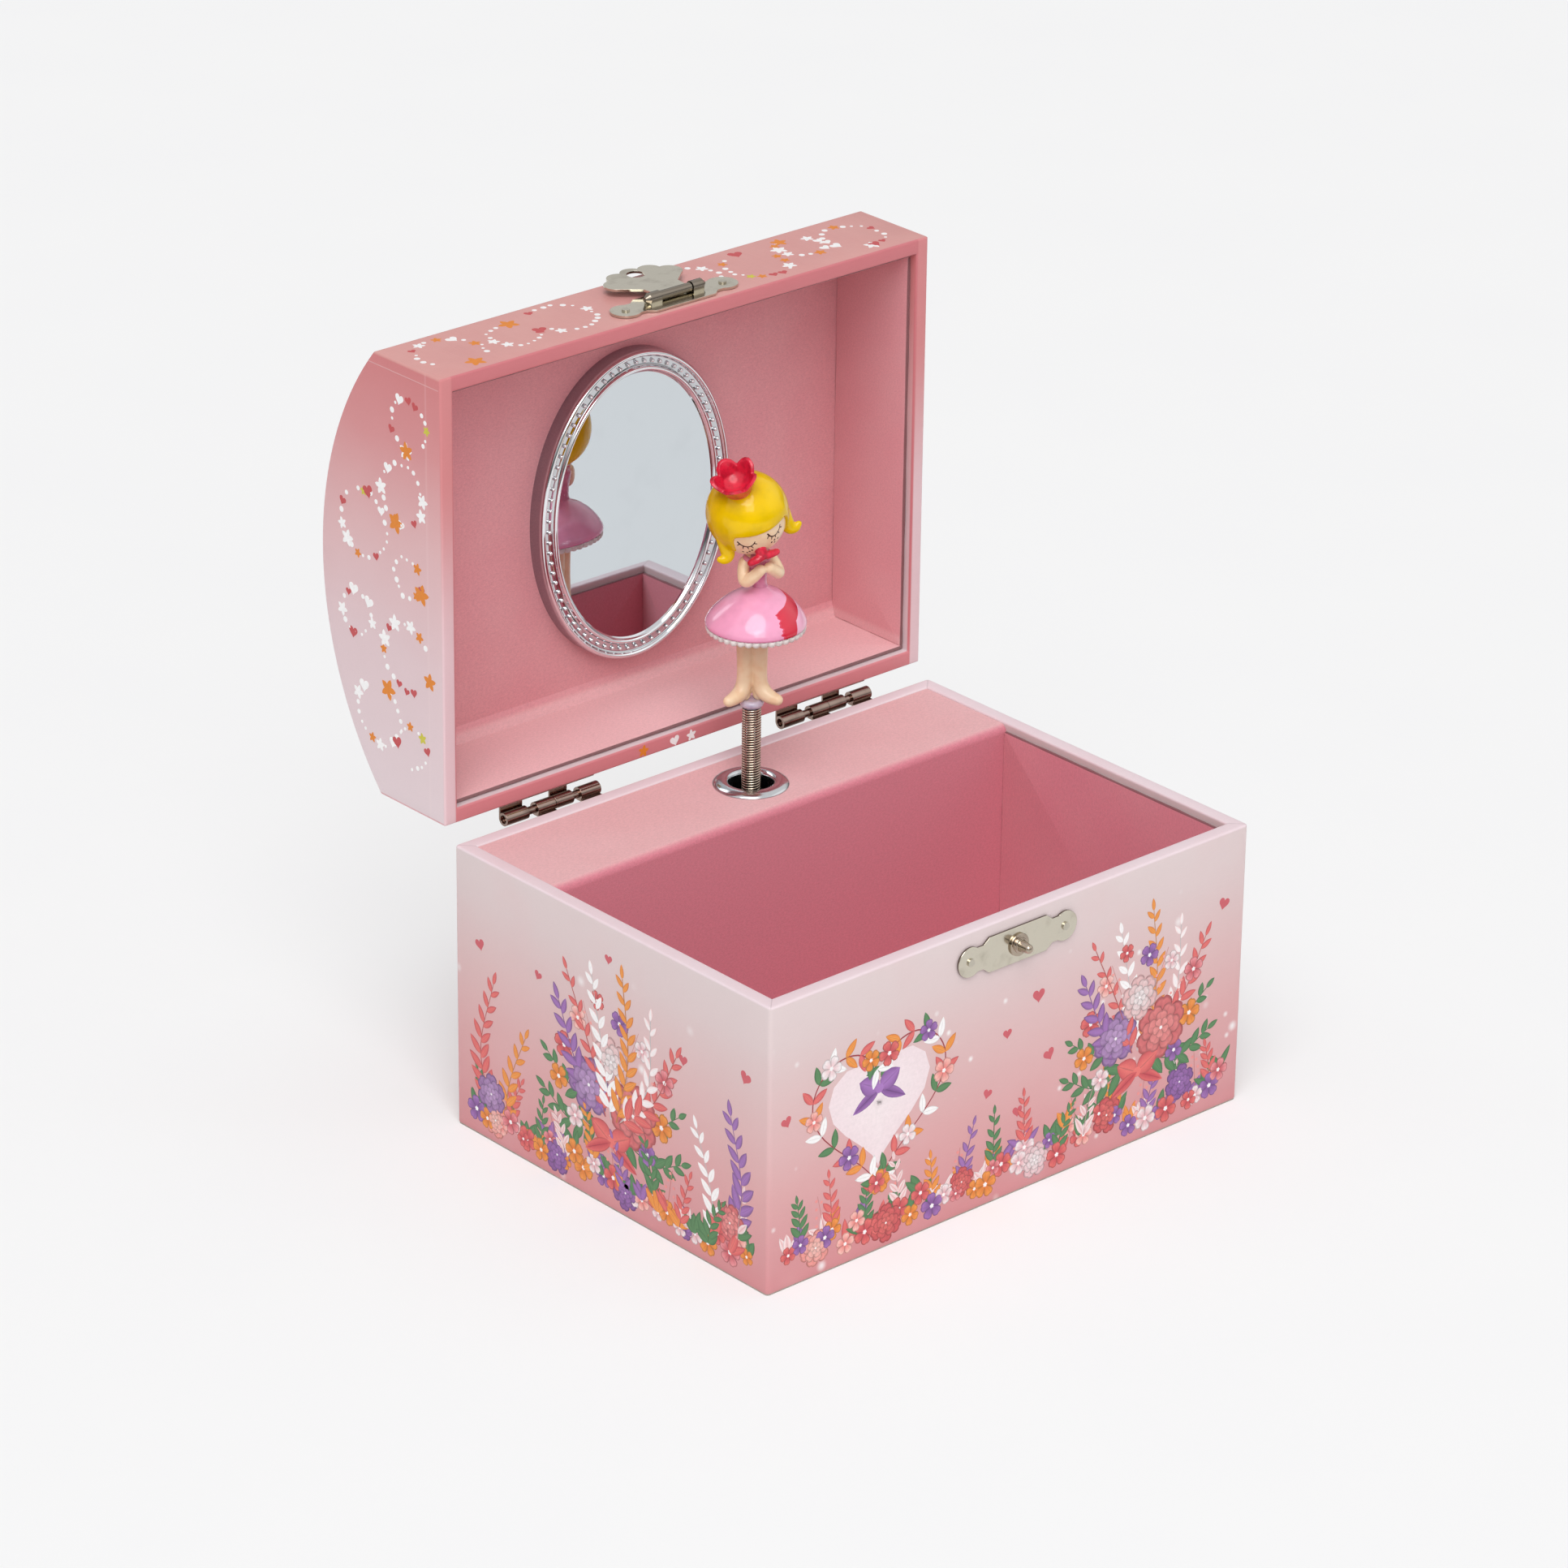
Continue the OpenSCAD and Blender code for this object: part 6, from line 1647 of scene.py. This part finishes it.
class JEWELBOX_OT_boards(bpy.types.Operator):
    """Give the greyboard its fibres"""

    bl_idname = "jewelbox.boards"
    bl_label = "Boards"
    bl_options = {"REGISTER"}

    def execute(self, context):
        dressed(["base_floor", "base_front_wall", "base_back_wall", "base_left_wall",
                 "base_right_wall", "stage_top", "stage_front", "lid_front_wall",
                 "lid_back_wall", "lid_left_end", "lid_right_end", "lid_vault"],
                board_paint())
        dressed(["mirror_pad"], plastic_paint("foam_pad", rgb(208, 206, 200),
                                              rgb(184, 182, 176), 0.8))
        return {"FINISHED"}


class JEWELBOX_OT_mirror(bpy.types.Operator):
    """Set the beaded mirror in the lid"""

    bl_idname = "jewelbox.mirror"
    bl_label = "Mirror"
    bl_options = {"REGISTER"}

    def execute(self, context):
        back = MIRROR_HIGH[1]

        # Painted dark reflections: grey bands on the chrome by depth
        def dark_bands(paint):
            crest, valley = (paint.y.rise(*(back - y for y in band)) for band in (CREST, VALLEY))
            return crest * 0.4 + valley * 0.45

        mirror_frame(metal_paint("chrome_ring", rgb(232, 234, 236), 0.06, 0.02, wear=0.05,
                                 painted_dark=(rgb(150, 148, 154), dark_bands)))
        dressed(["mirror_glass"], mirror_paint())
        return {"FINISHED"}


class JEWELBOX_OT_fittings(bpy.types.Operator):
    """Finish the hinges, the catch, the hasp, the nails and the grommet"""

    bl_idname = "jewelbox.fittings"
    bl_label = "Fittings"
    bl_options = {"REGISTER"}

    def execute(self, context):
        width = settings().edge_width / MM
        gun = metal_paint("gunmetal", GUNMETAL, 0.12, 0.05, (0.2, 1.6, 1.6),
                          rgb(84, 62, 56), 0.6)
        # The catch plate's sides, behind its front face, get painted shade
        face = corners("catch_plate")[0][1]
        side_shade = nickel_paint("edged_nickel", lambda paint: paint.y.rise(
            face + 0.06, face + 0.2) * 0.85)
        # A darker copy of the nickel for the catch stud and the hasp pin: painted dark reflections on their
        # round surfaces, with the metal's own random tarnish
        dark_reflection = metal_paint("worn_nickel", rgb(176, 162, 146), 0.1, 0.04, (0.25, 1, 1.6),
                           rgb(84, 70, 60), 0.5)
        _, pin_y, pin_z = sum(corners("hasp_pin")) / 2

        # Painted dark reflections on the hasp's rolled barrel, round the pin
        def barrel(paint):
            away = (paint.y - pin_y).reach(paint.z - pin_z)
            return (1 - away.rise(1.45, 1.8)) * (paint.z - pin_z).rise(-0.95, -0.6) * 0.75

        barrel_shade = nickel_paint("handled_nickel", barrel)
        leaves = [(side, *half) for side in ("left", "right")
                  for half in (("base", "box"), ("lid", "lid"))]
        fittings = [(f"{side}_{part}_leaf", f"{side}_{part}_hinge_leaf", body, "gunmetal", gun)
                    for side, part, body in leaves]
        fittings += [("hinge_pins", "hinge_rods", "box", "steel", gun),
                     ("catch_plate", "catch_face", "box", "pale_nickel", side_shade),
                     ("catch_stud", "catch_knob", "box", "pale_nickel", dark_reflection),
                     ("hasp_plate", "hasp_face", "lid", "pale_nickel", barrel_shade),
                     ("hasp_pin", "hasp_rod", "lid", "steel", dark_reflection),
                     ("hasp_tongue", "hasp_flap", "hasp", "pale_nickel", barrel_shade)]
        for fitting in fittings:
            softened(*fitting, width / 2 if fitting[0] == "hasp_pin" else width)
        dressed(["base_nails", "lid_nails"],
                metal_paint("nail_heads", rgb(196, 190, 176), 0.3, 0.1,
                            tarnish=rgb(126, 112, 96), wear=0.5))
        grommet_ring(metal_paint("bright_grommet", rgb(196, 198, 200), 0.14, 0.06, wear=0.2))
        dressed(["grommet_washer"], metal_paint("washer_steel", STEEL, 0.32, 0.12))
        return {"FINISHED"}


class JEWELBOX_OT_movement(bpy.types.Operator):
    """Finish the musical movement and its key"""

    bl_idname = "jewelbox.movement"
    bl_label = "Movement"
    bl_options = {"REGISTER"}

    def execute(self, context):
        brass = metal_paint("movement_brass", BRASS, 0.28, 0.12, (1, 1, 0.3),
                            rgb(140, 104, 52), 0.45)
        steel = metal_paint("movement_steel", STEEL, 0.3, 0.12, (0.3, 1, 1),
                            rgb(118, 112, 108), 0.4)
        dressed(["spring_drum", "drum_cover", "tune_cylinder", "governor_wheel",
                 "governor_frame"], brass)
        dressed(["spindle", "winding_arbor", "movement_screws", "tune_comb", "fly"], steel)
        dressed(["bedplate", "movement_bridge", "spindle_bracket"],
                metal_paint("cast_zinc", rgb(152, 152, 154), 0.5, 0.16, (1, 1, 1),
                            rgb(120, 118, 118), 0.5))
        dressed(["mainspring"], metal_paint("blued_spring", rgb(92, 98, 118), 0.3, 0.1))
        softened("winding_key", "key_wing", "winding", "white_plastic",
                 metal_paint("key_metal", rgb(206, 200, 190), 0.28, 0.1,
                             tarnish=rgb(150, 138, 120)), 0.2)
        return {"FINISHED"}


class JEWELBOX_OT_dancer(bpy.types.Operator):
    """Model the dancer on her coil spring"""

    bl_idname = "jewelbox.dancer"
    bl_label = "Dancer"
    bl_options = {"REGISTER"}

    def execute(self, context):
        options = settings()
        red = tuple(options.red_colour)
        wine = dimmed(red, 0.6)
        skin = resin_paint("skin_resin", rgb(248, 220, 184), rgb(243, 206, 166), 0.3, 0.25)
        coil_spring(coil_paint())
        dancer_bead(resin_paint("lilac_pearl", rgb(206, 196, 212), rgb(186, 172, 196), 0.2,
                                0.8))
        dancer_legs(skin)
        dancer_skirt(skirt_paint(tuple(options.skirt_colour), red))
        dancer_frill(resin_paint("frill_white", rgb(238, 234, 230), rgb(216, 208, 204), 0.3))
        dancer_bodice(resin_paint("bodice_pearl", rgb(222, 140, 170), rgb(206, 112, 150), 0.22,
                                  0.7))
        dancer_arms(skin)
        dancer_bow(resin_paint("bow_red", red, wine, 0.3, 0.35, 1.4))
        dancer_head(skin)
        dancer_face(resin_paint("lash_ink", INK, dimmed(INK, 0.6), 0.4, 0.2, 0.6))
        hair = tuple(options.hair_colour)
        dancer_hair(resin_paint("hair_yellow", hair, dimmed(hair, 0.84), 0.12,
                                0.35, 5, 0.1, 0.02))
        dancer_crown(resin_paint("crown_red", red, wine, 0.3, 0.35, 1.8))
        return {"FINISHED"}


def skirt_paint(pink, red):
    """Pink lacquer with one red gore. The gore lies between two angles round the skirt's
    axis; its left edge is a wavy line that leans over towards the waist."""
    paint = Paint("skirt_lacquer")
    right, front = DANCER[0] @ X, DANCER[0] @ -Y
    middle = SPINDLE + SKIRT_SHIFT * right
    dx, dy = paint.x - middle[0], paint.y - middle[1]
    across, ahead = (dx * way[0] + dy * way[1] for way in (right, front))
    angle = across.math("ARCTAN2", across, ahead) * (180 / pi)
    up = paint.z - (SOLES_Z + LEG_H)
    wave = (up * 3.1).math("SINE", up * 3.1) * 1.5 + (up * 7.3).math("SINE", up * 7.3) * 0.9
    lean = (up - 3.4).math("MAXIMUM", up - 3.4, 0.0)
    start, end = wave + 27, up * 2.4 + 46 + lean * 13
    crest = 6.0 + (angle - 30) * 0.034 + wave * 0.05
    gore = ((angle - start).rise(-0.6, 0.6) * (1 - (angle - end).rise(-0.6, 0.6))
            * (1 - (up - crest).rise(-0.08, 0.08)))
    # Painted highlight: a paler pink band right of the gore, fading out towards the side
    light = (angle - end).rise(0.0, 2.0) * (1 - angle.rise(80, 100))
    pool = paint.noise(4.0, 3.0)
    tone = paint.mix(pool.rise(0.35, 0.75), pink, dimmed(pink, 0.9))
    rim = 1 - up.rise(0.0, 1.6)
    tone = paint.mix(rim * 0.35, tone, rgb(214, 104, 156))
    tone = paint.mix(light * 0.35, tone, rgb(250, 206, 222))
    brim = gore * (1 - (angle - start).rise(1.2, 3.2))
    tone = paint.mix(gore, tone, paint.mix(pool, red, dimmed(red, 0.8)))
    tone = paint.mix(brim * 0.2, tone, rgb(240, 120, 160))
    # Painted shade: the inside of the bell, under the hem, darker and browner
    inside = 1 - up.rise(-0.2, -0.1)
    tone = paint.mix(inside * 0.5, tone, rgb(180, 120, 110))
    return paint.skin(tone, paint.noise(1.6) * 0.06 + 0.12, pool + gore * 0.5, 0.04,
                      Coat_Weight=0.55, Coat_Roughness=0.1, Specular_IOR_Level=0.3)


# ---- Stage ----

EYE = (-0.9418535, -1.0266376, 0.7272397)
AXES = ((0.74855161, -0.66297476, 0.01161678), (0.26856698, 0.3191587, 0.90885065),
        (-0.60625264, -0.67720173, 0.41695989))  # The view's right, up and back
LENS = 146.33
FLOOR_HALF = 2600
FOOT = (78, 63)  # Half the width and depth that the box covers


def floor_paint():
    """White card. The camera sees a share of it as if it glowed, which grows with the
    distance from the box, so that the shadow stays and the card runs into the backdrop."""
    paint = Paint("floor_card")
    tone = paint.mix(paint.noise(60, 3.0), rgb(246, 246, 247), rgb(248, 248, 248))
    card = paint.node("ShaderNodeBsdfDiffuse", {}, {"Color": tone})
    glow = paint.node("ShaderNodeEmission", {}, {"Color": tone, "Strength": 1.0})
    seen = paint.node("ShaderNodeLightPath", out="Is Camera Ray")
    far_x, far_y = abs(paint.x) - FOOT[0], abs(paint.y) - FOOT[1]
    away = far_x.math("MAXIMUM", far_x, far_y)
    share = seen * (away.rise(0.0, 90.0) * 0.46 + 0.22)
    paint.end("ShaderNodeOutputMaterial", paint.node("ShaderNodeMixShader", {},
                                                     {0: share, 1: card, 2: glow}))
    return paint.material


def lit(name, kind, way, place=(0, 0, 0), **settings):
    """A lamp that shines from a direction."""
    lamp = bpy.data.lights.new(name, kind)
    for key, value in settings.items():
        setattr(lamp, key, value)
    made = bpy.data.objects.new(name, lamp)
    made.location = place
    made.rotation_euler = Vector(way).to_track_quat("Z", "Y").to_euler()
    bpy.context.scene.collection.objects.link(made)


def studio():
    """A world whose even light fills the shadows. The camera sees a white backdrop, and so do
    metal and glass above the horizon; below it they see a dimmer light."""
    world = bpy.data.worlds.new("studio")
    world.use_nodes = True
    sky = Graph(world.node_tree)
    camera = sky.node("ShaderNodeLightPath", out="Is Camera Ray")
    bounced = camera.math("MAXIMUM", camera.beside("Is Glossy Ray"),
                          camera.beside("Is Transmission Ray"))
    up = sky.node("ShaderNodeSeparateXYZ", {},
                  {0: sky.node("ShaderNodeTexCoord", out="Generated")}, "Z")
    shine = bounced * up.rise(0.12, 0.48, "LINEAR")
    seen = camera.math("MAXIMUM", camera, shine)
    level = shine.math("MULTIPLY_ADD", bounced - shine, -0.3, 0.42)
    around = sky.node("ShaderNodeBackground", {}, {0: (1.0, 1.0, 1.0), 1: level})
    behind = sky.node("ShaderNodeBackground", {}, {0: rgb(247, 247, 248), 1: 1.0})
    sky.end("ShaderNodeOutputWorld", sky.node("ShaderNodeMixShader", {},
                                              {0: seen, 1: around, 2: behind}))
    return world


class JEWELBOX_OT_stage(bpy.types.Operator):
    """Set the floor, the lights, the backdrop and the camera"""

    bl_idname = "jewelbox.stage"
    bl_label = "Stage"
    bl_options = {"REGISTER"}

    def execute(self, context):
        scene = bpy.context.scene
        floor = Shape()
        x, y = np.meshgrid(*[np.linspace(-FLOOR_HALF, FLOOR_HALF, 3)] * 2)
        floor.grid(np.stack([x, y, 0 * x], -1))
        floor.build("floor", None, "board", floor_paint())
        camera = bpy.data.objects.new("camera", bpy.data.cameras.new("camera"))
        camera.data.lens, camera.data.sensor_width, camera.data.clip_end = LENS, 36, 20
        camera.matrix_world = Matrix.Translation(EYE) @ Matrix(AXES).transposed().to_4x4()
        scene.collection.objects.link(camera)
        scene.camera = camera
        lit("key", "SUN", (-0.43, -0.42, 0.9), energy=1.66, angle=radians(40))
        lit("side", "SUN", (0.8, -0.5, 0.35), energy=0.25, angle=radians(60))
        lit("softbox", "AREA", (-0.5, -0.75, 0.65), (-0.5, -0.75, 0.75), size=0.45, energy=2.0)
        scene.world = studio()
        scene.view_settings.view_transform = "Standard"
        return {"FINISHED"}


STEPS = (JEWELBOX_OT_papers, JEWELBOX_OT_linings, JEWELBOX_OT_boards, JEWELBOX_OT_mirror,
         JEWELBOX_OT_fittings, JEWELBOX_OT_movement, JEWELBOX_OT_dancer, JEWELBOX_OT_stage)


class JEWELBOX_PT_panel(bpy.types.Panel):
    """Settings and steps of the jewellery box"""

    bl_label = "Jewellery Box"
    bl_space_type = "VIEW_3D"
    bl_region_type = "UI"
    bl_category = "Jewellery Box"

    def draw(self, context):
        for name in JewelleryBoxSettings.__annotations__:
            self.layout.prop(context.scene.jewellery_box, name)
        for step in STEPS:
            self.layout.operator(step.bl_idname)


CLASSES = (JewelleryBoxSettings, *STEPS, JEWELBOX_PT_panel)


def register():
    for kind in CLASSES:
        bpy.utils.register_class(kind)
    bpy.types.Scene.jewellery_box = bpy.props.PointerProperty(type=JewelleryBoxSettings)


def unregister():
    del bpy.types.Scene.jewellery_box
    for kind in reversed(CLASSES):
        bpy.utils.unregister_class(kind)


def main():
    register()
    for step in STEPS:
        group, name = step.bl_idname.split(".")
        getattr(getattr(bpy.ops, group), name)()


if __name__ == "__main__":
    main()
